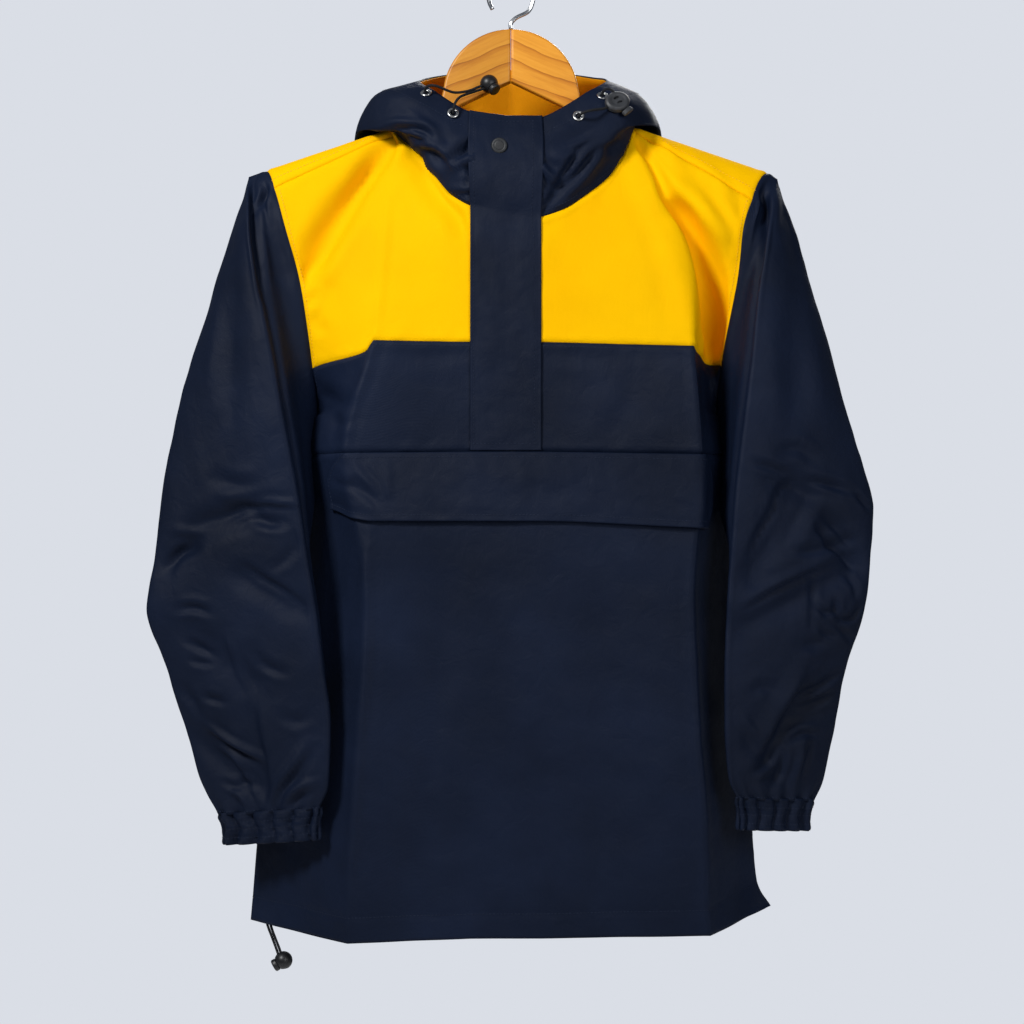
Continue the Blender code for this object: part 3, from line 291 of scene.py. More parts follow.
# x, z to x, z, half width, depth: in (+) or out (-)
FRONT_FOLDS = (
    (-126, -190, -186, -272, 13, 8),  # left yoke, from the neck to the armhole
    (122, -160, 138, -220, 9, 4),  # right yoke, under the neck
    (150, -226, 186, -345, 11, 12),  # right yoke, beside the crease
    (150, -200, 205, -250, 10, -4),
    (-165, -290, -186, -330, 9, 4),
    (-150, -480, -160, -640, 14, 6),
    (182, -470, 190, -640, 12, 6),
    (-180, -660, -196, -850, 14, 5),
    (200, -690, 212, -850, 12, 5),
    (-60, -560, -86, -840, 22, 2.5),
    (70, -600, 96, -840, 24, 2.5),
)


# %% The front as a grid
def hold(u, v, last):
    """Keeps folds off the edges that other panels share: 0 there, 1 inside."""
    return np.outer(ease(v / 0.8), ease(np.minimum(u, last - u) / 0.35))


def over_shoulder(rows, v, shoulder):
    """Levels joined smoothly; on the shoulders the cloth first goes out and then down."""
    levels = range(len(rows))
    grid = through(levels, rows, v)
    late = np.where(v < 1, np.clip(v, 0, 1) ** 1.7, v)
    grid[:, :, 2] += shoulder * (through(levels, rows[:, :, 2], late) - grid[:, :, 2])
    return grid


def along_neck(table, u):
    """Points of the neck seam, from a table of along, x, z, y."""
    return through([row[0] for row in table], [row[1:] for row in table], u)[:, [0, 2, 1]]


def front_grid(u, v):
    """Points of the front: a row for each v (shoulder to hem), a column for each u."""
    get = lambda name: column(FRONT, FRONT_COLUMNS, name)
    full = lambda value: np.full(len(FRONT), float(value))
    x = [get("x_el"), get("x_cl"), full(PLACKET_LEFT), full(-ZIP_HALF)]
    x += [full(ZIP_HALF), full(PLACKET_RIGHT), get("x_cr"), get("x_er")]
    z = [get("z_el"), get("z_cl")] + [get("z_ce")] * 4 + [get("z_cr"), get("z_er")]
    y = [get("y_el"), get("y_cl")] + [get("y_ce")] * 4 + [get("y_cr"), get("y_er")]
    named = np.stack([np.stack(x, 1), np.stack(y, 1), np.stack(z, 1)], axis=2)
    rows = np.zeros((len(FRONT), len(u), 3))
    for level in range(len(FRONT)):
        for axis in range(3):
            rows[level, :, axis] = np.interp(u, range(8), named[level, :, axis])
    left, right = np.clip(u, 0, 1), np.clip(u - 6, 0, 1)
    rows[:, :, 1] -= np.outer(get("hollow_l"), 4 * left * (1 - left))
    rows[:, :, 1] -= np.outer(get("hollow_r"), 4 * right * (1 - right))
    rows[YOKE_SEAM, :, 2] -= SEAM_STEP * ease(left / 0.85) * ease((1 - left) / 0.12)
    inside = (u > 1) & (u < 6)  # below the neck; the creases 1 and 6 end at its corners
    neck, corners = along_neck(NECK, u), along_neck(NECK, (1.0, 6.0))
    rows[0, inside] = neck[inside]
    near, far = 0.72, 0.28  # level 1 runs nearer to the neck than to level 2
    step = named[1, [1, 6]] - (near * corners + far * named[2, [1, 6]])
    eased = np.outer(1 - ease((u - 1) / 0.6), step[0])
    eased = eased + np.outer(1 - ease((6 - u) / 0.6), step[1])
    rows[1, inside] = (near * neck + far * rows[2] + eased)[inside]
    shoulder = 1 - ease(np.minimum(u - 1, 6 - u) / 0.3)
    grid = over_shoulder(rows, v, shoulder)
    grid[:, :, 1] += fold_depth(grid[:, :, 0], grid[:, :, 2], FRONT_FOLDS) * hold(u, v, 7.0)
    under = 9 * ease((v - ARMPIT) / 0.15) * ease((6.3 - v) / 1.0)  # spare cloth below the armpit
    grid[:, :, 0] += np.outer(under, right**2 - (1 - left) ** 2)
    return grid


print("front hem at the left crease:", front_grid(np.array([1.0]), np.array([12.0]))[0, 0])

# %% [markdown]
# The back is measured in the same levels. Across: left edge 0, shoulder blade 1, centre 2,
# blade 3, right edge 4. Above the armpit its edges are the armholes; below, they are the
# front's own side edges, so that the side seams stay shut.

# %% Back
# the levels are the front's; dx, dz: how far an armhole edge goes out past the front's
BACK_COLUMNS = "dx_edge y_edge dz_edge  x_blade y_blade z_blade  y_ce z_ce"
BACK = (
    (0, 0, 0, 108, -4, -140, 42, -158),
    (1, 17, 0, 109, 17, -152, 46, -178),
    (-3, 30, 0, 112, 42, -218, 51, -238),
    (-6, 36, 0, 118, 50, -276, 55, -290),
    (-8, 30, 4, 124, 53, -338, 57, -338),
    (0, 3, 0, 130, 54, -390, 57, -390),
    (0, 8, 0, 136, 55, -438, 57, -438),
    (0, 12, 0, 142, 55, -498, 57, -498),
    (0, 17, 0, 148, 56, -570, 58, -570),
    (0, 23, 0, 154, 56, -670, 58, -670),
    (0, 27, 0, 160, 56, -758, 57, -758),
    (0, 29, 0, 166, 55, -844, 56, -845),
    (0, 30, 0, 169, 54, -866, 56, -867),
)
# x, z to x, z, half width, depth
BACK_FOLDS = (
    (-60, -380, -84, -850, 24, 6),
    (34, -420, 50, -850, 26, 6),
    (118, -360, 130, -840, 20, 5),
    (-130, -260, -150, -640, 18, 5),
    (-100, -200, -180, -290, 16, 5),
    (100, -200, 180, -290, 16, 5),
)


# %% The back as a grid
def front_edges(v):
    """The front's two side edges at v: left and right."""
    return front_grid(np.array([0.0, 7.0]), v)


def back_grid(u, v):
    """Points of the back, u from the left edge 0 over the centre 2 to the right edge 4."""
    get = lambda name: column(BACK, BACK_COLUMNS, name)
    edges = front_edges(np.arange(len(FRONT), dtype=float))
    rows = np.zeros((len(BACK), len(u), 3))
    for level in range(len(BACK)):
        left, right = edges[level, 0].copy(), edges[level, 1].copy()
        if level < ARMPIT:
            left += (-get("dx_edge")[level], 0, get("dz_edge")[level])
            right += (get("dx_edge")[level], 0, get("dz_edge")[level])
            left[1] = right[1] = get("y_edge")[level]
        blade = np.array([get("x_blade")[level], get("y_blade")[level], get("z_blade")[level]])
        centre = (0, get("y_ce")[level], get("z_ce")[level])
        rows[level] = through(range(5), [left, blade * (-1, 1, 1), centre, blade, right], u)
    ridge = (u <= 1) | (u >= 3)
    rows[0] = along_neck(NECK_BACK, u)
    top_u = np.where(u[ridge] <= 1, u[ridge], u[ridge] + 3)
    rows[0, ridge] = front_grid(top_u, np.array([0.0]))[0]
    grid = over_shoulder(rows, v, 1 - ease(np.minimum(u - 1, 3 - u) / 0.3))
    below = v >= ARMPIT
    edge = front_edges(v[below])
    own = through(range(len(BACK)), rows[:, [0, -1]], v[below])
    for side, side_u, reached in ((0, 0.0, u[0] == 0), (1, 4.0, u[-1] == 4)):
        if reached:  # below the armpit the back's edge is moved onto the front's
            fade = 1 - ease(np.abs(u - side_u) / 0.4)
            shift = edge[:, side] - own[:, side]
            grid[below] += fade[None, :, None] * shift[:, None, :]
    grid[:, :, 1] -= fold_depth(grid[:, :, 0], grid[:, :, 2], BACK_FOLDS) * hold(u, v, 4.0)
    return grid


print("back hem at the centre:", back_grid(np.array([0.0, 2.0]), np.array([12.0]))[0, 1])

# %% [markdown]
# A sleeve is a tube. Round it: front edge of the armhole, then underarm seam 0, front
# crease 2, outer fold 4, and round the back to 8. Along it: shoulder 0 to wrist 12.

# %% Sleeves
# out: outer fold; cr: front crease; in: underarm seam; back: how far the back stands off
SLEEVE_COLUMNS = "x_out y_out z_out  x_cr y_cr z_cr  x_in y_in  back"
SLEEVE_LEFT = (
    (-239, 0, -184, -239, 0, -184, 0, 0, 0),
    (-243, -2, -202, -236, -20, -206, 0, 0, 18),
    (-256, -3, -238, -232, -38, -244, 0, 0, 30),
    (-270, -4, -288, -224, -48, -292, 0, 0, 34),
    (-294, -5, -362, -209, -58, -364, 0, 0, 32),
    (-308, -6, -420, -200, -62, -413, 0, 0, 30),
    (-317, -8, -475, -189, -64, -472, -177, -14, 27),
    (-322, -10, -530, -181, -65, -527, -181, -34, 25),
    (-328, -12, -578, -174, -64, -575, -175, -42, 23),
    (-312, -12, -630, -167, -64, -628, -168, -46, 21),
    (-296, -12, -680, -161, -64, -678, -163, -48, 20),
    (-279, -14, -734, -163, -61, -730, -165, -47, 18),
    (-262, -19, -763, -172, -54, -753, -176, -43, 15),
)
SLEEVE_RIGHT = (
    (243, 0, -186, 243, 0, -186, 0, 0, 0),
    (248, -2, -204, 235, -20, -210, 0, 0, 18),
    (260, -3, -240, 230, -38, -247, 0, 0, 30),
    (274, -4, -288, 222, -48, -293, 0, 0, 34),
    (296, -5, -360, 214, -58, -360, 0, 0, 32),
    (311, -6, -420, 207, -62, -413, 0, 0, 30),
    (329, -8, -485, 200, -64, -474, 188, -14, 27),
    (326, -10, -530, 196, -65, -527, 196, -32, 25),
    (319, -12, -580, 193, -64, -577, 194, -38, 23),
    (304, -12, -628, 191, -64, -627, 192, -42, 21),
    (294, -12, -680, 191, -64, -678, 192, -44, 20),
    (282, -14, -732, 194, -61, -724, 196, -44, 18),
    (272, -19, -750, 203, -54, -744, 207, -41, 15),
)
# x, z to x, z, half width, depth
SLEEVE_FOLDS = (
    (-254, -225, -262, -252, 9, 5),
    (-270, -500, -214, -492, 11, 6),
    (-318, -540, -290, -520, 11, 7),
    (-236, -548, -192, -574, 11, 5),
    (-292, -690, -236, -728, 12, 6),
    (-286, -600, -232, -640, 14, 4),
    (252, -222, 258, -255, 9, 5),
    (216, -540, 250, -470, 12, 7),
    (288, -505, 314, -538, 12, 8),
    (210, -590, 300, -542, 12, 6),
    (232, -462, 268, -474, 10, 4),
    (222, -700, 236, -722, 10, 5),
    (250, -676, 284, -668, 12, 5),
)


# %% A sleeve as a grid
def sleeve_grid(side, w, q):
    """Points of a sleeve: a row for each q (shoulder to wrist), a column for each w."""
    left = side == "left"
    table = SLEEVE_LEFT if left else SLEEVE_RIGHT
    last = len(table) - 1
    get = lambda *names: np.stack([column(table, SLEEVE_COLUMNS, n) for n in names], 1)
    levels = range(len(table))
    out = through(levels, get("x_out", "y_out", "z_out"), q)
    crease = through(levels, get("x_cr", "y_cr", "z_cr"), q)
    inner = get("x_in", "y_in", "z_cr")
    inner[:, 2] = 0.5 * (get("z_cr")[:, 0] + get("z_out")[:, 0])
    inner[ARMPIT] = front_edges(np.array([float(ARMPIT)]))[0, 0 if left else 1]
    below = through(range(ARMPIT, len(table)), inner[ARMPIT:], np.maximum(q, ARMPIT))
    above = np.minimum(q, ARMPIT)
    hole_front = front_grid(np.array([0.0 if left else 7.0]), above)[:, 0]
    hole_back = back_grid(np.array([0.0 if left else 4.0]), above)[:, 0]
    is_above = (q < ARMPIT)[:, None]  # there the tube's two edges are the armhole's
    start, end = np.where(is_above, hole_front, below), np.where(is_above, hole_back, below)
    back = through(levels, get("back"), q) * np.array([0, 1, 0])
    stations = [start, 0.5 * (start + crease) + 0.22 * back, crease]
    stations += [0.5 * (crease + out) - 0.28 * back, out]
    for share, bulge in ((0.22, 0.75), (0.50, 1.0), (0.80, 0.72)):  # round the back
        stations.append(out + share * (end - out) + bulge * back)
    stations = np.stack(stations + [end])
    grid = np.moveaxis(rounded(np.arange(9.0), stations, w), 0, 1)
    outward = np.where(w <= 4, 1.0, -0.7)
    depth = fold_depth(grid[:, :, 0], grid[:, :, 2], SLEEVE_FOLDS)
    across = np.clip(np.minimum(w, 8 - w) / 0.8, 0, 1) * np.clip(np.abs(w - 4) / 0.5, 0, 1)
    ends = np.clip(np.minimum(q - 0.5, last - q) / 0.8, 0, 1)
    grid[:, :, 1] += depth * np.outer(ends, across * outward)
    # the wrist's edge lies in one plane, and the shoulder's end closes to the armhole's ridge
    slope = (crease - out)[:, 2] / np.where(q > 0.5, (crease - out)[:, 0], 1)
    flat = out[:, None, 2] + slope[:, None] * (grid[:, :, 0] - out[:, None, 0])
    grid[:, :, 2] += ease((q - last + 0.4) / 0.4)[:, None] * (flat - grid[:, :, 2])
    share = np.minimum(w, 8 - w)[:, None] / 4
    ridge = hole_front[0] + share * (out[0] - hole_front[0])
    if q[0] == 0:
        grid += (1 - ease(q / 0.5))[:, None, None] * (ridge - grid[0])[None]
    return grid


print("left wrist:", sleeve_grid("left", np.array([4.0]), np.array([0.0, 12.0]))[1, 0])

# %% [markdown]
# The hood is folded down behind the neck. Along the neck seam: zip 0, shoulder 2, middle
# of the back 3. Each section goes from the seam (0) up over the roll to the free edge (1).

# %% Hood
# along, then x y z of three places over the roll and of the free edge
HOOD_LEFT = (
    (0.0, -4.2, -53, -203, -4.2, -52, -181, -4.2, -46, -158, -4.2, -38, -136),
    (1.0, -37, -52, -195, -38, -52, -174, -38, -46, -152, -37, -37, -131),
    (1.5, -83, -38, -163, -91, -42, -147, -86, -40, -127, -67, -28, -112),
    (2.0, -118, -5, -133, -140, -2, -143, -123, -4, -110, -83, -3, -97),
    (2.17, -112, 18, -135, -144, 24, -153, -131, 24, -115, -82, 14, -92),
    (2.35, -98, 37, -142, -140, 42, -196, -134, 52, -130, -76, 34, -86),
    (2.7, -56, 52, -149, -98, 82, -270, -92, 100, -176, -48, 66, -75),
    (3.0, 0, 55, -151, 0, 90, -318, 0, 118, -218, 0, 76, -70),
)
HOOD_RIGHT = (
    (0.0, 4.2, -53, -203, 4.2, -52, -181, 4.2, -46, -158, 4.2, -38, -136),
    (1.0, 28, -52, -200, 29, -52, -178, 29, -46, -156, 28, -38, -136),
    (1.5, 84, -38, -163, 90, -42, -147, 85, -40, -129, 66, -30, -114),
    (2.0, 120, -5, -132, 134, -2, -139, 122, -4, -114, 87, -3, -96),
    (2.17, 113, 18, -134, 138, 24, -151, 127, 24, -117, 85, 14, -91),
    (2.35, 98, 37, -141, 134, 42, -196, 128, 52, -132, 78, 34, -86),
    (2.7, 56, 52, -149, 96, 82, -270, 90, 100, -176, 48, 66, -75),
    (3.0, 0, 55, -151, 0, 90, -318, 0, 118, -218, 0, 76, -70),
)


# %% Half a hood as a grid
def neck_seam(side, along):
    """The neck seam at the hood's place along."""
    left = side == "left"
    front_u = 3 - np.minimum(along, 2) if left else 4 + np.minimum(along, 2)
    back_u = np.maximum(along, 2) - 1 if left else 5 - np.maximum(along, 2)
    front = front_grid(front_u, np.array([0.0]))[0]
    back = back_grid(back_u, np.array([0.0]))[0]
    return np.where((along <= 2)[:, None], front, back)


def hood_grid(side, along, share):
    """Points of half a hood: a row for each share (seam to edge), a column for each along."""
    table = HOOD_LEFT if side == "left" else HOOD_RIGHT
    points = np.array([row[1:] for row in table], float).reshape(len(table), 4, 3)
    found = through([row[0] for row in table], points, along)
    stations = np.concatenate([neck_seam(side, along)[None], np.moveaxis(found, 1, 0)])
    return rounded(np.arange(5.0), stations, 4 * share)


print("hood edge at the zip:", hood_grid("left", np.array([0.0]), np.array([1.0]))[0, 0])

# %% [markdown]
# ## One fine skin
#
# The panels could be modelled one by one, but then each seam would have to be closed by
# hand. Instead each surface is sampled as one grid of about 3 mm cells, with extra lines
# beside the seams, and every cell is given to the panel it belongs to. Grids that meet
# share their points, so a seam stays shut whatever happens to it later.

# %% Grid lines
CELL = 3.2
FINE_CELL = CELL * 0.8  # for the sleeves and the hood, which have the smallest creases
BESIDE = (0.8, 2.0, 3.8)  # mm from a seam: the lines that shape its groove
LEAST = 0.4  # mm: no line is nearer than this to a named one


def unit(direction):
    """A direction, or an array of them, at length 1."""
    direction = np.asarray(direction, float)
    return direction / np.maximum(np.linalg.norm(direction, axis=-1, keepdims=True), 1e-9)


def reach_along(points):
    """The length from the first point to each point of a line."""
    return np.concatenate([[0], np.cumsum(np.linalg.norm(np.diff(points, axis=0), axis=1))])


def lengths(grid, axis):
    """The length to each point along the rows (axis 1) or the columns (axis 0) of a grid."""
    steps = np.linalg.norm(np.diff(grid, axis=axis), axis=2)
    return np.concatenate([0 * steps.take([0], axis), np.cumsum(steps, axis=axis)], axis=axis)


def grid_normals(grid):
    """The direction out of a grid at each point."""
    return unit(np.cross(np.gradient(grid, axis=0), np.gradient(grid, axis=1)))


def cells(rows, columns, flip=False):
    """Row, column and corners of each cell of a grid; flip turns the corners round."""
    for r in range(rows - 1):
        for c in range(columns - 1):
            corners = [(r, c), (r + 1, c), (r + 1, c + 1), (r, c + 1)]
            yield r, c, corners[::-1] if flip else corners


def grid_lines(curve, breaks, seams=None, cell=CELL):
    """Values for grid lines about a cell apart along curve(values), and beside the seams."""
    values = np.linspace(breaks[0], breaks[-1], 1601)
    reach = reach_along(curve(values))
    seams = breaks if seams is None else seams
    found = []
    for first, last in zip(breaks[:-1], breaks[1:]):
        a, b = np.interp([first, last], values, reach)
        near = [a + d for d in BESIDE if first in seams]
        near += [b - d for d in BESIDE if last in seams]
        start = a + (BESIDE[-1] if first in seams else 0)
        end = b - (BESIDE[-1] if last in seams else 0)
        parts = max(1, math.ceil((end - start) / cell))
        inner = list(np.linspace(start, end, parts + 1)) if end > start else []
        stops = sorted(set(round(s, 3) for s in near + inner if a + LEAST < s < b - LEAST))
        found += [first] + list(np.interp(stops, reach, values))
    return np.array(found + [breaks[-1]])


# %% Lines of the body
# the places where the cells are measured out, one for each direction of a grid
AT_U, AT_V, AT_W, AT_Q, AT_ALONG = (np.array([place]) for place in (1.5, 5.5, 3.0, 4.0, 1.0))
BODY_V = grid_lines(lambda v: front_grid(AT_U, v)[:, 0], [0, 1, 4, 5, 6, 12], [0, 1, 4, 6])
HALF_U = grid_lines(lambda u: front_grid(u, AT_V)[0], [0, 1, 2, 3, 4], [0, 3])
FRONT_LINES = np.concatenate([HALF_U[HALF_U <= 3], 7 - HALF_U[HALF_U <= 3][::-1]])
NECK_FRONT = 3 - FRONT_LINES[(FRONT_LINES >= 1) & (FRONT_LINES <= 3)][::-1]
NECK_BACK_LINES = grid_lines(lambda a: neck_seam("left", a), [2, 3], [])
HOOD_ALONG = np.concatenate([NECK_FRONT, NECK_BACK_LINES[1:]])
HALF_BACK = np.concatenate([FRONT_LINES[FRONT_LINES <= 1], (NECK_BACK_LINES - 1)[1:]])
BACK_LINES = np.concatenate([HALF_BACK, 4 - HALF_BACK[::-1][1:]])
print(len(FRONT_LINES), "lines across the front,", len(BODY_V), "down")


# %% The skin
PER_MM = 20  # points nearer than about a twentieth of a millimetre are one point


class Skin:
    """Points shared by all the grids, and the faces of each panel."""

    def __init__(self):
        self.points, self.normals, self.height = [], [], []
        self.known, self.panels = {}, {}

    def point(self, place, normal, height):
        """The number of the point at a place, which all grids that come there share."""
        key = tuple(int(round(c * PER_MM)) for c in place)
        if key not in self.known:
            self.known[key] = len(self.points)
            self.points.append(place)
            self.normals.append(np.zeros(3))
            self.height.append([])
        index = self.known[key]
        self.normals[index] = self.normals[index] + normal
        self.height[index].append(height)
        return index

    def add(self, grid, panel_of, heights, flip=False):
        """A grid of points; panel_of(row, column) names the panel of each cell."""
        rows, columns = grid.shape[:2]
        normals = grid_normals(grid) * (-1 if flip else 1)
        u_flat, v_flat = lengths(grid, 1), lengths(grid, 0)
        u_flat -= u_flat[:, columns // 2][:, None]
        index = np.zeros((rows, columns), int)
        for k in np.ndindex(rows, columns):
            index[k] = self.point(grid[k], normals[k], heights[k])
        for r, c, corners in cells(rows, columns, flip):
            face = [index[k] for k in corners]
            if len(set(face)) < 3:
                continue
            uv = [(u_flat[k], v_flat[k]) for k in corners]
            kept = [i for i, one in enumerate(face) if one != face[i - 1]]
            made = ([face[i] for i in kept], [uv[i] for i in kept])
            self.panels.setdefault(panel_of(r, c), []).append(made)
        return index

    def finish(self):
        """Settles the shared points' mean directions and heights."""
        self.points = np.array(self.points)
        self.normals = unit(np.array(self.normals))
        self.height = np.array([np.mean(h) for h in self.height])


# %% [markdown]
# ## Folds, creases and waves
#
# Cloth that hangs from a hanger gets long soft folds where it is held, short sharp creases
# where it was pressed, and small waves along each seam, because the thread draws the cloth
# in. A simulation would put them somewhere; a maker who copies one garment needs them in
# their own places, so the creases are lines in a table, each with a width on either side.

# %% Heights from lines and waves
def smooth_line(route, spacing):
    """Points of a curve that bends gently through the route's own points."""
    route = np.array(route, float)
    reach = reach_along(route)
    slope = np.gradient(route, reach, axis=0)
    places = [route[:1]]
    for n in range(len(route) - 1):
        width = reach[n + 1] - reach[n]
        parts = max(1, round(width / spacing))
        t = (np.arange(parts)[:, None] + 1) / parts
        places.append(hermite(t, route[n], route[n + 1], slope[n] * width, slope[n + 1] * width))
    return np.concatenate(places)


def crease_height(flat, creases):
    """Heights from creases: height, width on one side, on the other, x, z, x, z and so on."""
    total = np.zeros(flat.shape[:-1])
    for height, wide_a, wide_b, *line in creases:
        line = smooth_line(np.reshape(line, (-1, 2)), spacing=7.0)
        margin = 3.2 * max(wide_a, wide_b)  # past it nothing of the crease is left
        low, high = line.min(axis=0) - margin, line.max(axis=0) + margin
        inside = np.all((flat > low) & (flat < high), axis=-1)
        near = flat[inside]
        if not len(near):
            continue
        run = np.diff(line, axis=0)
        length = np.linalg.norm(run, axis=1)
        run = run / length[:, None]
        off = near[:, None] - line[None, :-1]
        along = np.clip(np.sum(off * run, axis=2), 0, length)
        gap = np.linalg.norm(off - along[..., None] * run, axis=2)
        best = np.argmin(gap, axis=1)
        rows = np.arange(len(near))
        aside = off[rows, best, 0] * run[best, 1] - off[rows, best, 1] * run[best, 0]
        share = (reach_along(line)[best] + along[rows, best]) / length.sum()
        lean = 0.5 + 0.5 * np.tanh(aside / 2.0)  # 1 on one side, 0 on the other
        wide = wide_b + (wide_a - wide_b) * lean
        taper = np.sin(np.pi * np.clip(share, 0.03, 0.97)) ** 0.6  # it runs out at its ends
        gap = gap[rows, best] / wide
        # a soft trough or ridge, with the cloth swelling a little the other way beside it
        profile = np.exp(-(gap**1.7)) - 0.3 * np.exp(-(((gap - 2.0) / 0.8) ** 2))
        total[inside] += height * taper * profile
    return total


def waves(points, size, seed, count=11):
    """Smooth uneven waves between about -1 and 1, about size mm from crest to crest."""
    chance = np.random.default_rng(seed)
    total = np.zeros(points.shape[:-1])
    for _ in range(count):
        way = unit(chance.normal(size=3)) / (size * chance.uniform(0.75, 1.5))
        total += np.sin(points @ way * 2 * math.pi + chance.uniform(0, 7))
    return total / math.sqrt(count)


def from_edge(grid, sides="left right top bottom"):
    """How far each point is from the named edges of its grid."""
    across, down = lengths(grid, 1), lengths(grid, 0)
    far = {"left": across, "right": across[:, -1:] - across}
    far.update(top=down, bottom=down[-1:] - down)
    return np.minimum.reduce([far[side] for side in sides.split()])


example = crease_height(np.array([[0.0, 5.0]]), [(3, 5, 5, 0, 0, 0, 10)])
print("a 3 mm crease at its own line:", example)

# %% Creases of the front
# height, width on one side and on the other, then x, z, x, z and so on along the line
FRONT_CREASES = (
    (-5.0, 11, 5, -100, -145, -107, -159, -119, -175, -129, -191, -141, -207, -152, -224),
    (-4.2, 8, 6.5, -100, -136, -109, -156, -120, -174, -133, -191, -147, -211),
    (-7.0, 13, 9, -135, -197, -150, -220, -162, -241, -178, -270, -192, -300),
    (-2.2, 8, 6, -53, -207, -46, -225, -40, -256),
    (-1.3, 5, 5, -188, -316, -176, -320, -162, -329),
    (-2.4, 4, 3, -161, -245, -172, -260, -184, -276, -192, -293),
    (-2.2, 4, 4, -170, -285, -180, -300, -188, -316),
    (-1.1, 3, 4, -187, -306, -178, -299, -167, -297),
    (-1.1, 3, 4, -186, -320, -176, -316, -165, -313),
    (-1.0, 3, 4, -183, -331, -174, -328, -167, -325),
    (-3.2, 9, 4, -88, -151, -81, -174, -70, -194, -59, -213, -48, -226, -39, -252),
    (0.9, 4, 4, -110, -202, -113, -256, -120, -332),
    (-6.0, 4, 8, 113, -141, 119, -158, 127, -174, 133, -190, 139, -210),
    (2.2, 3, 3, 115, -141, 120, -151, 129, -163),
    (-2.6, 3, 5, 121, -143, 129, -157, 140, -174, 153, -191),
    (4.4, 12, 3.5, 120, -174, 132, -207, 144, -232, 152, -256, 158, -281, 162, -305, 163, -340),
    (-14.5, 5.5, 12, 137, -202, 151, -224, 163, -245, 172, -270, 178, -298, 182, -327, 184, -356),
    (1.8, 5, 8, 151, -197, 166, -216, 179, -240, 190, -266),
    (2.4, 8, 5, 169, -174, 183, -187, 195, -202, 204, -221, 211, -241),
    (-2.2, 4, 7, 194, -200, 203, -215, 211, -231),
    (1.6, 4, 4, 169, -327, 178, -340, 190, -352),
    (-1.8, 8, 10, 108, -156, 102, -175, 88, -195),
    (1.8, 5, 5, -123, -335, -131, -368, -143, -398, -150, -430),
    (-1.8, 6, 6, -172, -375, -162, -394, -154, -425),
    (-1.5, 4, 7, -169, -382, -156, -390, -142, -397),
    (-1.3, 4, 5, -162, -406, -151, -411, -138, -407),
    (1.5, 5, 4, 163, -340, 165, -398, 166, -439),
    (-1.2, 10, 14, 115, -345, 97, -407, 79, -434),
    (-0.9, 5, 7, -37, -347, -72, -352, -104, -350),
    (-0.8, 6, 8, 29, -350, 70, -354, 115, -350),
    (2.0, 4, 5, -125, -498, -129, -570, -129, -619, -135, -680, -137, -717, -142, -790,
     -147, -858),
    (-1.8, 6, 4, -129, -497, -137, -532, -144, -586, -147, -657),
    (1.2, 4, 5, -135, -506, -144, -550, -149, -613),
    (1.9, 5, 4, 164, -514, 162, -582, 164, -634, 168, -717, 174, -778, 178, -858),
    (-1.4, 4, 8, 169, -514, 170, -604, 176, -693),
    (-1.0, 14, 18, -72, -532, -63, -639, -81, -746),
    (-1.0, 18, 14, 79, -550, 97, -657, 115, -764),
    (0.9, 16, 16, 8, -532, 17, -622, 4, -711),
    (-1.0, 8, 14, -37, -657, -50, -746, -44, -836),
    (-1.0, 14, 8, 70, -711, 79, -773, 70, -840),
)
# %% Creases of the left sleeve
SLEEVE_CREASES_LEFT = (
    (-4.0, 2.5, 3.5, -234, -190, -232, -211, -230, -238, -225, -271, -221, -299),
    (2.2, 3, 3, -229, -188, -229, -208, -224, -231),
    (-2.6, 2.5, 3, -219, -192, -224, -207, -229, -218),
    (1.6, 3, 4, -214, -195, -218, -214, -216, -236),
    (1.2, 9, 8, -259, -265, -266, -326, -274, -389),
    (-1.0, 9, 9, -243, -299, -250, -371, -247, -425),
    (-3.2, 3, 9, -258, -496, -247, -492, -237, -488, -218, -485),
    (1.6, 2.5, 3, -229, -484, -216, -480, -202, -481, -186, -482),
    (-2.2, 4, 4, -231, -489, -218, -498, -200, -500),
    (-1.8, 6, 6, -265, -459, -247, -465, -223, -466),
    (-1.5, 3, 4, -196, -504, -191, -518, -199, -531, -214, -541),
    (-2.0, 2.2, 3, -238, -536, -218, -550, -200, -560, -184, -572),
    (-3.2, 4, 4, -309, -543, -303, -532, -295, -525, -283, -522),
    (-2.6, 3, 4, -299, -578, -285, -576, -270, -580),
    (-1.8, 2.5, 4, -293, -606, -281, -611, -265, -620),
    (-1.6, 2.5, 3, -288, -623, -275, -626, -266, -624),
    (-1.8, 2.5, 4, -277, -655, -266, -659, -256, -660),
    (1.7, 2.5, 3, -256, -597, -247, -615, -242, -633, -234, -649, -232, -665),
    (-2.0, 3, 5, -230, -610, -222, -624, -212, -630, -198, -633),
    (-2.6, 10, 3, -230, -656, -227, -685, -222, -705, -219, -726, -221, -751),
    (2.2, 2.5, 3, -275, -681, -259, -691, -240, -701, -220, -711),
    (-2.0, 3, 3, -268, -694, -252, -701, -236, -710, -223, -721),
    (2.3, 2.5, 2.5, -265, -696, -247, -709, -236, -725, -226, -746),
    (-1.8, 2.5, 3, -259, -732, -250, -737, -240, -738),
    (-1.8, 2.5, 3, -247, -735, -238, -732, -229, -735),
    (1.8, 3, 3, -252, -737, -240, -746, -234, -755),
    (2.2, 3, 3, -180, -690, -193, -712, -207, -730, -215, -751),
    (-2.2, 3, 4, -173, -697, -186, -717, -200, -735, -208, -753),
    (2.0, 3, 4, -171, -727, -187, -732, -200, -742, -205, -753),
    (-1.6, 3, 3, -179, -739, -189, -744, -197, -753),
    (1.2, 4, 4, -306, -505, -284, -508, -258, -501),
    (-1.3, 4, 5, -204, -669, -191, -676, -177, -669),
    (-1.5, 4, 5, -297, -649, -286, -662, -279, -678),
)
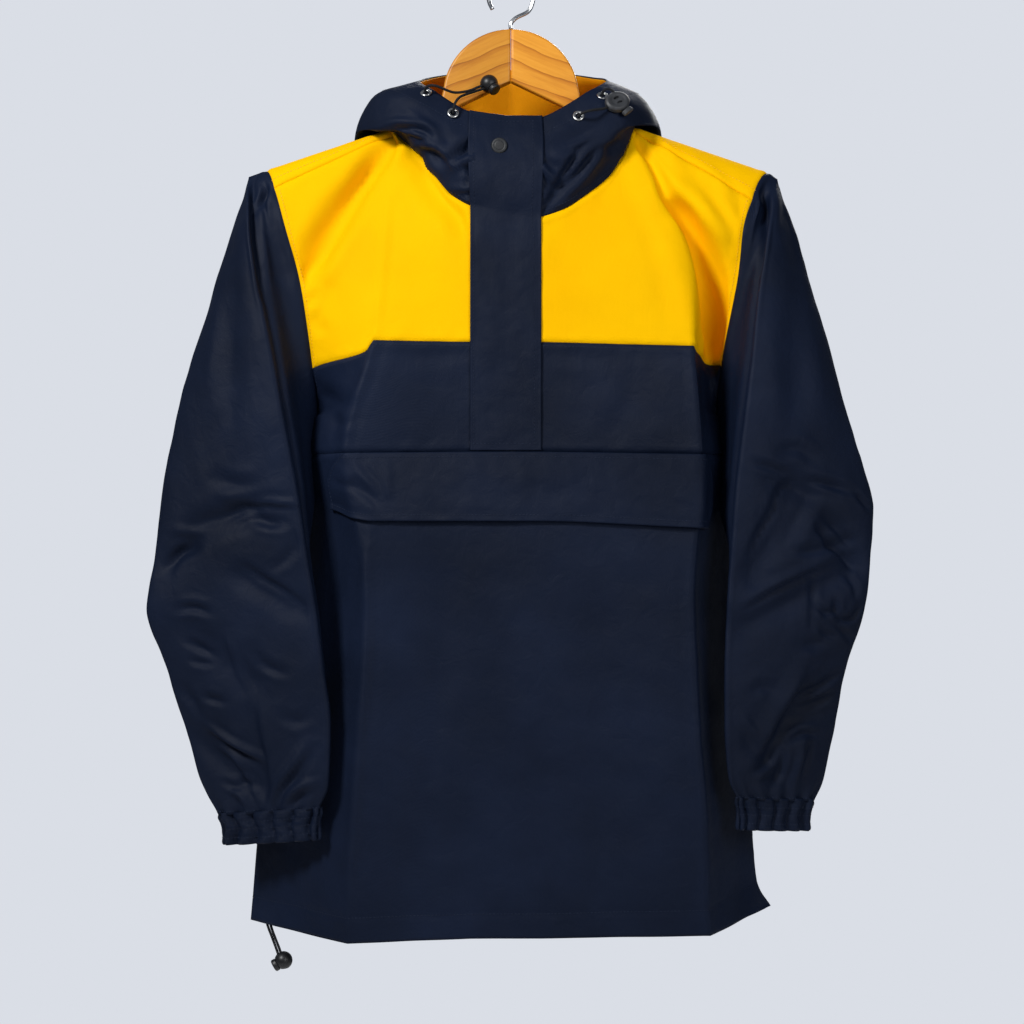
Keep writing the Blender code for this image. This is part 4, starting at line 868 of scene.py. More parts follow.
# %% Creases of the right sleeve
SLEEVE_CREASES_RIGHT = (
    (-3.4, 4, 3, 226, -192, 230, -211, 226, -233, 222, -254, 219, -274),
    (2.2, 3, 3, 220, -197, 223, -213, 218, -229),
    (1.4, 4, 4, 240, -195, 239, -215, 236, -238),
    (1.2, 9, 9, 265, -290, 275, -353, 284, -407),
    (-1.0, 9, 9, 247, -317, 252, -380, 250, -425),
    (-2.4, 2, 3, 249, -461, 237, -469, 232, -484, 223, -501, 215, -514, 210, -527),
    (-3.2, 2.2, 3, 273, -503, 285, -518, 299, -530, 307, -541),
    (1.5, 3, 3, 277, -497, 292, -512, 306, -524),
    (-2.3, 2.2, 3, 207, -576, 228, -563, 250, -553, 273, -544, 295, -535),
    (1.3, 4, 4, 209, -567, 240, -550, 274, -536),
    (-2.3, 3, 4, 266, -462, 285, -465, 306, -471),
    (-1.9, 3, 4, 213, -446, 231, -451, 249, -458),
    (-1.6, 5, 5, 240, -436, 256, -433, 270, -443),
    (-2.8, 7, 7, 268, -466, 259, -488, 249, -506, 236, -525),
    (-2.0, 4, 5, 247, -525, 270, -524, 292, -519, 313, -513),
    (-2.2, 2.2, 2.5, 311, -472, 319, -481, 327, -489),
    (-1.5, 3, 3, 270, -543, 270, -573, 268, -597),
    (-1.9, 2.5, 3, 272, -568, 282, -581, 291, -578, 293, -566),
    (-2.2, 2.5, 3, 290, -571, 298, -587, 309, -585, 317, -571),
    (-1.8, 2.5, 3, 290, -589, 301, -599, 310, -608),
    (-1.5, 3, 3, 274, -590, 284, -599, 295, -602),
    (-1.6, 2.5, 3, 301, -545, 310, -556, 311, -568),
    (-1.9, 5, 6, 259, -608, 272, -608, 286, -604),
    (-3.2, 5, 12, 279, -637, 259, -656, 246, -673, 233, -698, 220, -716),
    (1.9, 8, 4, 266, -619, 251, -649, 240, -669, 225, -694, 216, -712),
    (-2.2, 3, 3, 259, -653, 277, -647, 288, -640, 299, -634),
    (-2.3, 3, 3, 258, -666, 275, -661, 293, -653),
    (-2.5, 3, 3, 249, -695, 261, -688, 277, -690),
    (2.0, 3, 3, 217, -725, 229, -719, 238, -707),
    (1.8, 3, 3, 261, -698, 257, -717, 252, -735),
    (-1.6, 3, 3, 270, -695, 266, -712, 261, -726),
    (-1.8, 3, 3, 243, -705, 240, -721, 232, -734),
    (1.3, 4, 4, 202, -669, 216, -686, 225, -705),
    (-1.3, 4, 5, 213, -649, 222, -644, 234, -649),
)
# %% Creases of the hood
HOOD_CREASES_LEFT = (
    (-3.2, 2.5, 3, -104, -147, -88, -148, -77, -150, -70, -157),
    (-2.2, 2.5, 2.5, -97, -151, -84, -158, -70, -158),
    (1.4, 2.5, 2.5, -91, -150, -83, -153, -75, -157),
    (2.4, 4, 4, -127, -148, -111, -142, -95, -142, -81, -145, -68, -151, -65, -158),
    (1.6, 4, 4, -67, -158, -72, -163, -83, -162),
    (-4.6, 4, 4, -83, -165, -69, -174, -54, -183),
    (-5.4, 5, 5, -22, -157, -35, -164, -43, -170, -54, -182),
    (2.8, 3, 4, -26, -166, -39, -174, -50, -182, -63, -180),
    (-4.4, 4, 4, -49, -191, -43, -184, -35, -186, -28, -198),
    (-3.0, 6, 6, -43, -195, -36, -195),
    (1.8, 3, 3, -54, -201, -43, -204, -28, -202),
    (-3.0, 3, 3, -47, -207, -38, -207, -26, -205),
    (-1.8, 5, 5, -77, -165, -65, -182, -52, -198),
    (1.0, 3, 3, -100, -127, -88, -134, -76, -142, -65, -150),
    (-1.2, 4, 5, -67, -150, -58, -158, -49, -161),
    (-1.0, 6, 6, -111, -131, -97, -127, -83, -129),
)
HOOD_CREASES_RIGHT = (
    (-3.0, 7, 7, 84, -140, 68, -149, 51, -158, 35, -161),
    (3.0, 6, 5, 100, -145, 87, -159, 72, -178, 57, -196, 40, -214),
    (-3.6, 3.5, 3.5, 100, -156, 91, -162, 81, -168),
    (-4.6, 3, 3.4, 77, -165, 65, -181, 55, -193, 43, -205, 28, -221),
    (2.0, 2.5, 2.5, 70, -165, 59, -179, 49, -191),
    (-4.4, 3, 3.2, 61, -168, 53, -182, 45, -195, 35, -207),
    (-1.8, 2.5, 3, 74, -160, 61, -166, 51, -169),
    (2.2, 3, 3, 26, -180, 33, -190, 40, -195, 49, -192),
    (-2.6, 4, 4, 30, -174, 37, -182, 43, -186),
    (-1.6, 3, 3, 26, -188, 31, -198, 40, -204),
    (1.6, 4, 4, 90, -170, 77, -186, 61, -202),
    (-2.0, 5, 5, 93, -170, 83, -184, 70, -197),
    (-1.4, 3, 4, 43, -138, 52, -143, 63, -149),
)
# %% Creases of the back and of the sleeves' backs
BACK_CREASES = (
    (-1.8, 10, 14, -58, -170, -78, -280, -92, -420),
    (-1.5, 14, 10, 70, -180, 86, -300, 98, -430),
    (1.4, 8, 10, -96, -190, -120, -300, -132, -400),
    (-2.0, 7, 10, -176, -250, -150, -330, -120, -380),
    (-1.8, 7, 9, 182, -260, 150, -340, 122, -396),
    (-1.2, 12, 14, -14, -360, 4, -480, -6, -620),
    (-1.5, 8, 11, -190, -430, -140, -470, -80, -486),
    (1.3, 8, 8, -186, -404, -136, -440, -84, -452),
    (-1.4, 8, 11, 186, -440, 134, -486, 76, -498),
    (1.2, 9, 9, 180, -414, 132, -452, 84, -466),
    (1.3, 5, 5, -124, -300, -128, -520, -134, -700, -140, -860),
    (1.2, 5, 5, 136, -320, 138, -540, 142, -700, 150, -860),
    (-1.0, 12, 12, -60, -560, -72, -700, -64, -840),
    (-1.0, 12, 12, 62, -600, 76, -720, 70, -850),
)
SLEEVE_BACK_CREASES = (
    (-2.2, 6, 8, -226, -170, -236, -230, -244, -300),
    (-1.7, 5, 8, -298, -452, -262, -470, -228, -462),
    (1.5, 6, 7, -300, -470, -262, -492, -226, -486),
    (-1.7, 5, 7, -304, -520, -270, -512, -236, -528),
    (-1.4, 5, 6, -280, -600, -250, -622, -228, -660),
    (-1.4, 5, 6, -262, -700, -240, -716, -214, -720),
    (-2.0, 6, 8, 230, -172, 240, -236, 246, -310),
    (-1.7, 5, 8, 306, -446, 272, -462, 236, -456),
    (1.5, 6, 7, 308, -464, 270, -484, 234, -478),
    (-1.7, 5, 7, 310, -510, 280, -500, 240, -520),
    (-1.4, 5, 6, 300, -590, 270, -612, 244, -650),
    (-1.4, 5, 6, 282, -690, 262, -706, 238, -712),
)
GATHERS = 22  # round one cuff
SLEEVE_GAIN = 1.6
print(len(FRONT_CREASES), "front creases,", len(BACK_CREASES), "back creases")


# %% Heights of each surface
HEM_STITCHES = 11.0  # the level of the hem's stitching
INNER_EDGES = "left right top"


def body_height(grid, v, creases, gain, rolling, fade):
    """Heights of the front or back. rolling: (height, size, seed) of its waves in mm;
    fade: how far from its seams the creases reach their full height."""
    height = gain * crease_height(grid[..., [0, 2]], creases)
    for high, size, seed in rolling:
        height += high * waves(grid, size, seed)
    hem = -0.55 * np.exp(-(((v - HEM_STITCHES) / 0.05) ** 2))[:, None]
    return height * ease(from_edge(grid, INNER_EDGES) / fade) + hem


def sleeve_height(side, grid, w, q):
    """Creases, waves, the pressed front crease and, near the cuff, the gathers' ends."""
    flat = grid[..., [0, 2]]
    front = ease((4.15 - w) / 0.3)[None, :]
    here = SLEEVE_CREASES_LEFT if side == "left" else SLEEVE_CREASES_RIGHT
    height = SLEEVE_GAIN * front * crease_height(flat, here)
    height += SLEEVE_GAIN * (1 - front) * crease_height(flat, SLEEVE_BACK_CREASES)
    height += 0.45 * waves(grid, 60, 31) + 0.22 * waves(grid, 24, 32)
    across = lengths(grid, 1)
    across -= across[:, [np.argmin(np.abs(w - 2))]]  # mm from the front crease
    below = ease((q - 0.4) / 0.8)[:, None]
    ridge = 1.5 * np.exp(-((across / 2.6) ** 2))
    trough = 4.0 * np.exp(-(((across + 8) / 4.5) ** 2))
    height += below * (ridge - trough)
    height *= ease(from_edge(grid, INNER_EDGES) / 9)
    reach = reach_along(grid[:, len(w) // 2])
    up = reach[-1] - reach
    draw = np.exp(-up / 16)[:, None] * 1.5
    phase = 2 * math.pi * GATHERS * w / 8
    gather = np.sin(phase + 0.6 * np.sin(phase * 0.31 + 1) * ease(up / 10)[:, None])
    return height + draw * gather


def hood_height(side, grid, along, share):
    """Creases of the hood's front, and waves all over."""
    here = HOOD_CREASES_LEFT if side == "left" else HOOD_CREASES_RIGHT
    front = ease((0.9 - share) / 0.2)[:, None] * ease((2.2 - along) / 0.3)[None, :]
    height = 1.3 * front * crease_height(grid[..., [0, 2]], here)
    height += 0.5 * waves(grid, 42, 41) + 0.2 * waves(grid, 20, 42)
    return height * ease(from_edge(grid, "top bottom") / 5)


# %% Build the skin
# the places across the front that bound the zip, and the level of the flap's upper seam
ZIP_LEFT, ZIP_RIGHT, FLAP_SEAM = 3.0, 4.0, 6
skin = Skin()


def front_panel(r, c):
    """The panel that a cell of the front's grid belongs to."""
    u, v = FRONT_LINES[c], BODY_V[r]
    if ZIP_LEFT <= u < ZIP_RIGHT and v < FLAP_SEAM:
        return "front_zip"
    side = "left" if u < ZIP_LEFT else "right"
    if v < 1 and not 1.0 <= u < 6.0:
        return "back_yoke"  # it wraps over the shoulders
    if v < YOKE_SEAM:
        return "front_yoke_" + side
    return "front_chest_" + side if v < FLAP_SEAM else "front_lower"


def back_panel(r, c):
    """The panel that a cell of the back's grid belongs to."""
    return "back_yoke" if BODY_V[r] < YOKE_SEAM else "back_lower"


front_points, back_points = front_grid(FRONT_LINES, BODY_V), back_grid(BACK_LINES, BODY_V)
front_heights = body_height(
    front_points, BODY_V, FRONT_CREASES, gain=1.0, rolling=((0.4, 85, 11), (0.16, 30, 12)), fade=7
)
back_heights = body_height(
    back_points, BODY_V, BACK_CREASES, gain=2.2, rolling=((0.8, 95, 21), (0.25, 34, 22)), fade=14
)
front_index = skin.add(front_points, front_panel, front_heights)
back_index = skin.add(back_points, back_panel, back_heights, flip=True)
sleeve_index, hood_points, hood_index = {}, {}, {}
HOOD_SHARE = grid_lines(lambda s: hood_grid("left", AT_ALONG, s)[:, 0], [0, 1], [0], FINE_CELL)
for side in ("left", "right"):
    w = grid_lines(lambda w: sleeve_grid(side, w, AT_Q)[0], [0, 4, 8], [0, 8], FINE_CELL)
    q = grid_lines(lambda q: sleeve_grid(side, AT_W, q)[:, 0], [ARMPIT, 12], [], FINE_CELL)
    q = np.concatenate([BODY_V[BODY_V < ARMPIT], q])
    grid = sleeve_grid(side, w, q)
    heights = sleeve_height(side, grid, w, q)
    rule = lambda r, c: "sleeve_" + side
    sleeve_index[side] = skin.add(grid, rule, heights, flip=side == "left")
    hood_points[side] = grid = hood_grid(side, HOOD_ALONG, HOOD_SHARE)
    heights = hood_height(side, grid, HOOD_ALONG, HOOD_SHARE)
    rule = lambda r, c: "hood_" + side
    hood_index[side] = skin.add(grid, rule, heights, flip=side == "right")
collar = np.stack([hood_points["left"][:, 0], hood_points["right"][:, 0]], axis=1)[::-1]
skin.add(collar, lambda r, c: "front_zip", np.zeros(collar.shape[:2]))
skin.finish()
print("skin:", len(skin.points), "points;", {k: len(f) for k, f in skin.panels.items()})

# %% [markdown]
# ## From skin to panels
#
# A seam is where two panels' edges are turned in and sewn, so the cloth dips into a narrow
# groove there and puckers a little on both sides. The points that two panels share are the
# seams; every other point sinks by how near it is to them. Then each panel gets a wall: the
# same points moved in by the cloth's thickness, and a strip round the border to close it.

# %% Grooves, puckers and walls
SEAM_DEPTH, SEAM_WIDTH = 1.2, 1.7
BESIDE_HIGH, BESIDE_AT, BESIDE_WIDTH = 0.35, 4.2, 2.4  # the low swelling beside a seam
CLOTH = 1.1
owners = {}
for name, faces in skin.panels.items():
    for face, _ in faces:
        for index in face:
            owners.setdefault(index, set()).add(name)


def seam_distance(name):
    """How far each point of a panel is from the panel's seams."""
    inside = sorted({i for face, _ in skin.panels[name] for i in face})
    seams = [i for i in inside if len(owners[i]) > 1]
    tree = KDTree(len(seams))
    for i in seams:
        tree.insert(skin.points[i], i)
    tree.balance()
    return {i: tree.find(skin.points[i])[2] for i in inside}


distance = np.full(len(skin.points), 1e3)
for name in skin.panels:
    for index, far in seam_distance(name).items():
        distance[index] = min(distance[index], far)
pucker = 0.34 * waves(skin.points, 15, 51) * np.exp(-distance / 9) * ease(distance / 2.5)
lift = skin.height + pucker - SEAM_DEPTH * np.exp(-((distance / SEAM_WIDTH) ** 1.6))
lift += BESIDE_HIGH * np.exp(-(((distance - BESIDE_AT) / BESIDE_WIDTH) ** 2))
outer = skin.points + skin.normals * lift[:, None]


# %% Mesh objects and walls
def new_object(name, points, faces, uvs=None):
    """A smooth mesh object at the origin: points in millimetres, faces as lists of indices."""
    mesh = bpy.data.meshes.new(name)
    mesh.from_pydata([tuple(p * MM) for p in np.asarray(points, float)], [], faces)
    if uvs is not None:
        layer = mesh.uv_layers.new(name="cloth")
        layer.data.foreach_set("uv", np.array(uvs, float).ravel() * MM)
    mesh.polygons.foreach_set("use_smooth", [True] * len(mesh.polygons))
    mesh.validate()
    item = bpy.data.objects.new(name, mesh)
    bpy.context.scene.collection.objects.link(item)
    return item


def stands_for(item, *nodes):
    """Puts a finished piece in the place of CAD nodes, on the one body."""
    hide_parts(*nodes)
    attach(item, "root")


def walled(points, normals, faces, uvs, thick):
    """A closed sheet: the faces, their copy moved in, and a strip round every border."""
    used = sorted({i for face in faces for i in face})
    new = {old: n for n, old in enumerate(used)}
    top = points[used]
    count = len(used)
    places = np.concatenate([top, top - normals[used] * thick])
    outer_faces = [[new[i] for i in face] for face in faces]
    made = outer_faces + [[i + count for i in face[::-1]] for face in outer_faces]
    made_uv = [uv for face in uvs for uv in face] + [uv for face in uvs for uv in face[::-1]]
    sides = {}
    for face, uv in zip(outer_faces, uvs):
        for n, i in enumerate(face):
            j = face[(n + 1) % len(face)]
            if (j, i) in sides:
                del sides[(j, i)]
            else:
                sides[(i, j)] = (uv[n], uv[(n + 1) % len(uv)])
    for (i, j), (a, b) in sides.items():
        made.append([j, i, i + count, j + count])
        made_uv += [b, a, a, b]
    return places, made, made_uv


def sheet_area(points, faces):
    """The area of one side of a sheet, in square metres."""
    total = 0.0
    for face in faces:
        corners = points[face]
        for n in range(1, len(face) - 1):
            cross = np.cross(corners[n] - corners[0], corners[n + 1] - corners[0])
            total += np.linalg.norm(cross) / 2
    return total * 1e-6


# %% The panels
pieces, areas = {}, {}


def add_panel(name, points, normals, faces, uvs, thick=CLOTH):
    """A finished sheet of cloth in the place of the CAD node of the same name."""
    places, made, made_uv = walled(points, normals, faces, uvs, thick)
    item = new_object("cloth_" + name, places, made, made_uv)
    pieces[name] = item
    areas[name] = sheet_area(points, faces)
    stands_for(item, name)
    return item


for name, faces in skin.panels.items():
    add_panel(name, outer, skin.normals, *zip(*faces))
print({name: round(area, 3) for name, area in areas.items()})

# %% [markdown]
# ## Finishes
#
# The shell is a tight woven polyester: nearly smooth from a distance, with a fine diagonal
# twill, a soft satin sheen and faint crumples. One node group makes the weave from the
# cloth's own UV map, which is in metres, so a thread is the same size on every panel.
# A second group gives slow changes of tone, as handling and dye leave them. Both groups
# only put out values; the shader stays in each material.


# %% Node helpers
def node(tree, kind, settings=None, **sockets):
    """A node with its sockets filled: a value is set, another node's output is linked."""
    is_full = kind.startswith(("Geometry", "Function"))
    made = tree.nodes.new(kind if is_full else "ShaderNode" + kind)
    for key, value in (settings or {}).items():
        setattr(made, key, value)
    for key, value in sockets.items():
        numbered = key[0] == "i" and key[1:].isdigit()
        socket = made.inputs[int(key[1:]) if numbered else key.replace("_", " ")]
        if isinstance(value, bpy.types.NodeSocket):
            tree.links.new(value, socket)
        else:
            socket.default_value = value
    return made


def maths(tree, operation, *values):
    """The result of a Math node; values are numbers or other nodes' outputs."""
    numbered = {"i%d" % n: value for n, value in enumerate(values)}
    return node(tree, "Math", {"operation": operation}, **numbered).outputs[0]


def connect(tree, target, **outputs):
    """Links outputs to the target's inputs of these names."""
    for name, output in outputs.items():
        tree.links.new(output, target.inputs[name.replace("_", " ")])


def add_sockets(tree, way, named):
    """New group sockets: (name, kind, default value or None), the way being IN or OUT."""
    for label, kind, value in named:
        kind = "NodeSocket" + kind
        made = tree.interface.new_socket(name=label, in_out=way + "PUT", socket_type=kind)
        if value is not None:
            made.default_value = value


def value_group(name, inputs, outputs):
    """An empty shader group with float sockets, a Vector input first."""
    tree = bpy.data.node_groups.new(name, "ShaderNodeTree")
    add_sockets(tree, "IN", [("Vector", "Vector", None)])
    add_sockets(tree, "IN", [(label, "Float", value) for label, value in inputs.items()])
    add_sockets(tree, "OUT", [(label, "Float", None) for label in outputs])
    return tree, tree.nodes.new("NodeGroupInput"), tree.nodes.new("NodeGroupOutput")


def noise(tree, vector, scale, detail, **sockets):
    """The value of a noise texture."""
    made = node(tree, "TexNoise", Vector=vector, Scale=scale, Detail=detail, **sockets)
    return made.outputs["Fac"]


# %% Weave, tone and grain
weave, given, result = value_group("twill weave", {"Threads per metre": 900.0}, ["Height", "Rib"])
split = node(weave, "SeparateXYZ", Vector=given.outputs["Vector"])
turns = maths(weave, "MULTIPLY", given.outputs["Threads per metre"], 2 * math.pi)
both = maths(weave, "ADD", split.outputs["X"], split.outputs["Y"])
rib = maths(weave, "SINE", maths(weave, "MULTIPLY", both, turns))
weft = maths(weave, "SINE", maths(weave, "MULTIPLY", split.outputs["X"], turns))
weft = maths(weave, "MULTIPLY", weft, 0.16)
height = maths(weave, "ADD", maths(weave, "MULTIPLY", rib, 0.32), weft)
rib = maths(weave, "MULTIPLY_ADD", rib, 0.5, 0.5)
connect(weave, result, Height=maths(weave, "ADD", height, 0.5), Rib=rib)

tone, given, result = value_group(
    "tone and crumple", {"Patch": 9.0, "Crumple": 70.0}, ["Tone", "Crumple", "Speck"]
)
patch = noise(tone, given.outputs["Vector"], given.outputs["Patch"], 3.0)
rumpled = {"Roughness": 0.55, "Distortion": 0.6}
crumple = noise(tone, given.outputs["Vector"], given.outputs["Crumple"], 4.0, **rumpled)
speck = noise(tone, given.outputs["Vector"], 1500.0, 1.0)
connect(tone, result, Tone=patch, Crumple=crumple, Speck=speck)

grain, given, result = value_group(
    "wood grain", {"Rings per metre": 62.0}, ["Line", "Streak", "Pore"]
)
split = node(grain, "SeparateXYZ", Vector=given.outputs["Vector"])
slow = noise(grain, given.outputs["Vector"], 14.0, 3.0, Roughness=0.5)
bent = maths(grain, "MULTIPLY_ADD", slow, 0.014, split.outputs["Z"])
ring = maths(grain, "MULTIPLY", bent, given.outputs["Rings per metre"])
line = maths(grain, "POWER", maths(grain, "FRACT", ring), 5.0)
stretched = node(grain, "Mapping", Vector=given.outputs["Vector"], Scale=(0.07, 1.0, 1.0))
streak = noise(grain, stretched.outputs[0], 420.0, 4.0, Roughness=0.6)
pore = noise(grain, stretched.outputs[0], 1900.0, 2.0)
connect(grain, result, Line=line, Streak=streak, Pore=pore)
print("groups:", [tree.name for tree in (weave, tone, grain)])


# %% Starting a material
def ramp(tree, value, stops):
    """A colour ramp: stops are (place, display colour)."""
    made = node(tree, "ValToRGB", Fac=value)
    while len(made.color_ramp.elements) < len(stops):
        made.color_ramp.elements.new(0.5)
    for element, (place, colour) in zip(made.color_ramp.elements, stops):
        element.position = place
        element.color = (*linear(*colour), 1)
    return made.outputs["Color"]


def start_material(name, roughness, specular=0.5, metallic=0.0, **constants):
    """A material whose same-all-over numbers are set on the shader itself."""
    made = bpy.data.materials.new(name)
    made.use_nodes = True
    shader = made.node_tree.nodes["Principled BSDF"]
    shader.inputs["Roughness"].default_value = roughness
    shader.inputs["Specular IOR Level"].default_value = specular
    shader.inputs["Metallic"].default_value = metallic
    for key, value in constants.items():
        shader.inputs[key.replace("_", " ")].default_value = value
    return made, made.node_tree, shader


def bumped(tree, height, strength, distance, **sockets):
    """A normal from a height; distance in metres."""
    made = node(tree, "Bump", Strength=strength, Distance=distance, Height=height, **sockets)
    return made.outputs["Normal"]


# %% Woven cloth
def cloth_material(name, dark, middle, light, roughness, threads, bump, specular=0.4):
    """Woven cloth: the weave on the UV map, tone and crumples on Object coordinates."""
    made, tree, shader = start_material(name, roughness, specular)
    uv = node(tree, "UVMap", {"uv_map": "cloth"}).outputs["UV"]
    place = node(tree, "TexCoord").outputs["Object"]
    woven = node(tree, "Group", {"node_tree": weave}, Vector=uv, Threads_per_metre=threads)
    worn = node(tree, "Group", {"node_tree": tone}, Vector=place)
    mixed = maths(tree, "MULTIPLY", worn.outputs["Tone"], 0.72)
    mixed = maths(tree, "MULTIPLY_ADD", woven.outputs["Rib"], 0.16, mixed)
    mixed = maths(tree, "MULTIPLY_ADD", worn.outputs["Speck"], 0.12, mixed)
    colour = ramp(tree, mixed, ((0.28, dark), (0.5, middle), (0.74, light)))
    rough = maths(tree, "MULTIPLY_ADD", worn.outputs["Crumple"], 0.16, roughness - 0.08)
    soft = bumped(tree, worn.outputs["Crumple"], bump, 0.0016)
    fine = bumped(tree, woven.outputs["Height"], 0.5, 0.00022, Normal=soft)
    connect(tree, shader, Base_Color=colour, Roughness=rough, Normal=fine)
    return made


# name, dark, middle and light colour, roughness, threads per metre, crumples, specular
navy = cloth_material(
    "navy twill", (10, 18, 34), (15, 24, 43), (22, 32, 54), 0.54, 900.0, 0.48, 0.1
)
yellow = cloth_material(
    "yellow twill", (250, 184, 0), (253, 192, 0), (255, 198, 0), 0.7, 900.0, 0.22, 0.03
)
# the lining's colours are darker and more orange than the shell's yellow: painted shade, because
# the inside of the hood lies in shadow
lining = cloth_material(
    "yellow lining with painted shade", (208, 134, 0), (226, 150, 0), (242, 168, 0), 0.62, 1100.0, 0.3, 0.15
)
tape = cloth_material("black tape", (10, 12, 15), (16, 18, 22), (24, 26, 30), 0.7, 1300.0, 0.2)
PANEL_FINISH = dict.fromkeys(("back_yoke", "front_yoke_left", "front_yoke_right"), "yellow")
PANEL_FINISH["front_zip"] = "tape"
FINISHES = {"navy": (navy, "navy_cloth"), "yellow": (yellow, "yellow_cloth")}
FINISHES.update(lining=(lining, "lining_cloth"), tape=(tape, "zip_tape"))


def dress(item, finish):
    """Gives a piece the material of its finish."""
    look, slot = FINISHES[finish]
    item.data.materials.clear()
    item.data.materials.append(look)


for name, item in pieces.items():
    dress(item, PANEL_FINISH.get(name, "navy"))
print("cloth materials on", len(pieces), "panels")

# %% [markdown]
# ## Lining, placket and pocket flap
#
# The lining is a second, lighter cloth inside the hood. The placket is a doubled strip that
# covers the zip, and the flap is a doubled strip sewn down along its top edge only, so its
# lower edge stands a little off the front. Doubled pieces are made from the points of the
# cloth that they lie on, moved out, and their edges are rounded over, as a turned edge is.

# %% Lining
LINING_GAP, LINING_THICK = 1.75, 0.8
LINING_START = 3  # grid lines up from the neck seam
hood_faces = skin.panels["hood_left"] + skin.panels["hood_right"]
near_seam = {int(i) for rows in hood_index.values() for i in rows[:LINING_START].ravel()}
inner = skin.points + skin.normals * (skin.height * 0.95 - LINING_GAP)[:, None]


def in_roll(face):
    """Whether a face lies in the roll's tight lowest fold, where the lining ends unseen."""
    x, y, z = skin.points[list(face)].mean(axis=0)
    return abs(x) > 108 and -34 < y < 8 and z < -126


lined = [pair for pair in hood_faces if not near_seam & set(pair[0]) and not in_roll(pair[0])]
dress(add_panel("hood_lining", inner, skin.normals, *zip(*lined), LINING_THICK), "lining")
print("lining:", round(areas["hood_lining"], 3), "square metres")


# %% Laid pieces
EDGE_ROUND, STITCH_SINK = 1.1, 0.35


def laid_piece(name, grid, gap, thick, curl=None, stitched=()):
    """A doubled navy strip on a grid of cloth points, gap(0..1 down it) off the cloth."""
    normals, edge = grid_normals(grid), from_edge(grid)
    turn = np.sqrt(np.clip(1 - (1 - np.clip(edge / EDGE_ROUND, 0, 1)) ** 2, 0, 1))
    share = np.linspace(0, 1, grid.shape[0])[:, None]
    lift = gap(share) + np.zeros(grid.shape[:2])
    lift = lift + 0.3 * waves(grid, 26, 61) * ease(edge / 6) + 0.16 * waves(grid, 11, 62)
    if curl is not None:
        lift = lift + curl(grid)
    for inset in stitched:
        lift = lift - STITCH_SINK * np.exp(-((edge - inset) ** 2))
    middle = lift + thick / 2
    half = thick / 2 * np.maximum(turn, 0.12)
    top = grid + normals * (middle + half)[..., None]
    bottom = grid + normals * (middle - half)[..., None]
    rows, columns = grid.shape[:2]
    count = rows * columns
    index = np.arange(count).reshape(rows, columns)
    u, v = lengths(grid, 1), lengths(grid, 0)
    faces, uvs = [], []
    for _, _, corners in cells(rows, columns):
        faces.append([int(index[k]) for k in corners])
        uvs.append([(u[k], v[k]) for k in corners])
    made = faces + [[i + count for i in face[::-1]] for face in faces]
    made_uv = [p for uv in uvs for p in uv] + [p for uv in uvs for p in uv[::-1]]
    ring = [*index[:, 0], *index[-1, 1:], *index[::-1, -1][1:], *index[0, ::-1][1:-1]]
    for n, i in enumerate(ring):
        j = ring[(n + 1) % len(ring)]
        made.append([int(j), int(i), int(i) + count, int(j) + count])
        made_uv += [(u.flat[i], v.flat[i])] * 4
    points = np.concatenate([top.reshape(-1, 3), bottom.reshape(-1, 3)])
    item = new_object("cloth_" + name, points, made, made_uv)
    pieces[name], areas[name] = item, sheet_area(top.reshape(-1, 3), faces)
    stands_for(item, name)
    dress(item, "navy")
    return top, normals


def fine_lines(start, end, count, edge):
    """Values from start to end in count steps; the end steps are divided at edge."""
    step = (end - start) / count
    near, far = [start + step * e for e in edge], [end - step * e for e in edge[::-1]]
    return np.array(near + list(start + step * np.arange(2, count - 1)) + far)


# %% Placket
PLACKET_STEPS, PLACKET_THICK = 20, 2.0
even_x = fine_lines(PLACKET_LEFT, PLACKET_RIGHT, PLACKET_STEPS, (0.0, 0.12, 0.3, 0.6, 1.0))
front_u = np.interp(even_x, [PLACKET_LEFT, -ZIP_HALF, ZIP_HALF, PLACKET_RIGHT], [2, 3, 4, 5])
share = grid_lines(lambda s: hood_grid("left", np.array([0.5]), s)[:, 0], [0, 1], [1])
left_along = np.clip(3 - front_u[front_u <= 3], 0, 1)
right_along = np.clip(front_u[front_u >= 4] - 4, 0, 1)
left_part = hood_grid("left", left_along, share)
right_part = hood_grid("right", right_along, share)
inside = front_u[(front_u > 3) & (front_u < 4)] - 3
middle = left_part[:, -1:] + (right_part[:, :1] - left_part[:, -1:]) * inside[None, :, None]
collar_part = np.concatenate([left_part, middle, right_part], axis=1)[::-1]
placket_v = grid_lines(lambda v: front_grid(np.array([3.5]), v)[:, 0], [0, 6], [6])
front_part = front_grid(front_u, placket_v)
placket_points = np.concatenate([collar_part[:-1], front_part], axis=0)
placket_points[-1, :, 2] += 1.2  # it ends just above the flap's seam
top_of_placket, placket_normals = laid_piece(
    "placket", placket_points, lambda s: 0.5 + 0 * s, PLACKET_THICK, stitched=(2.4,)
)
print("placket:", round(areas["placket"], 4), "square metres")


# %% Pocket flap
def on_front(u, v):
    """Points of the front at pairs of u and v near the flap, read off a close grid."""
    first_u, first_v = 0.3, 5.9
    close = front_grid(np.linspace(first_u, 6.7, 641), np.linspace(first_v, 7.3, 57))
    a, b = (u - first_u) * 100, (v - first_v) * 40  # cells of 1/100 by 1/40
    i, j = np.floor(a).astype(int), np.floor(b).astype(int)
    a, b = (a - i)[..., None], (b - j)[..., None]
    upper = close[j, i] * (1 - a) + close[j, i + 1] * a
    lower = close[j + 1, i] * (1 - a) + close[j + 1, i + 1] * a
    return upper * (1 - b) + lower * b


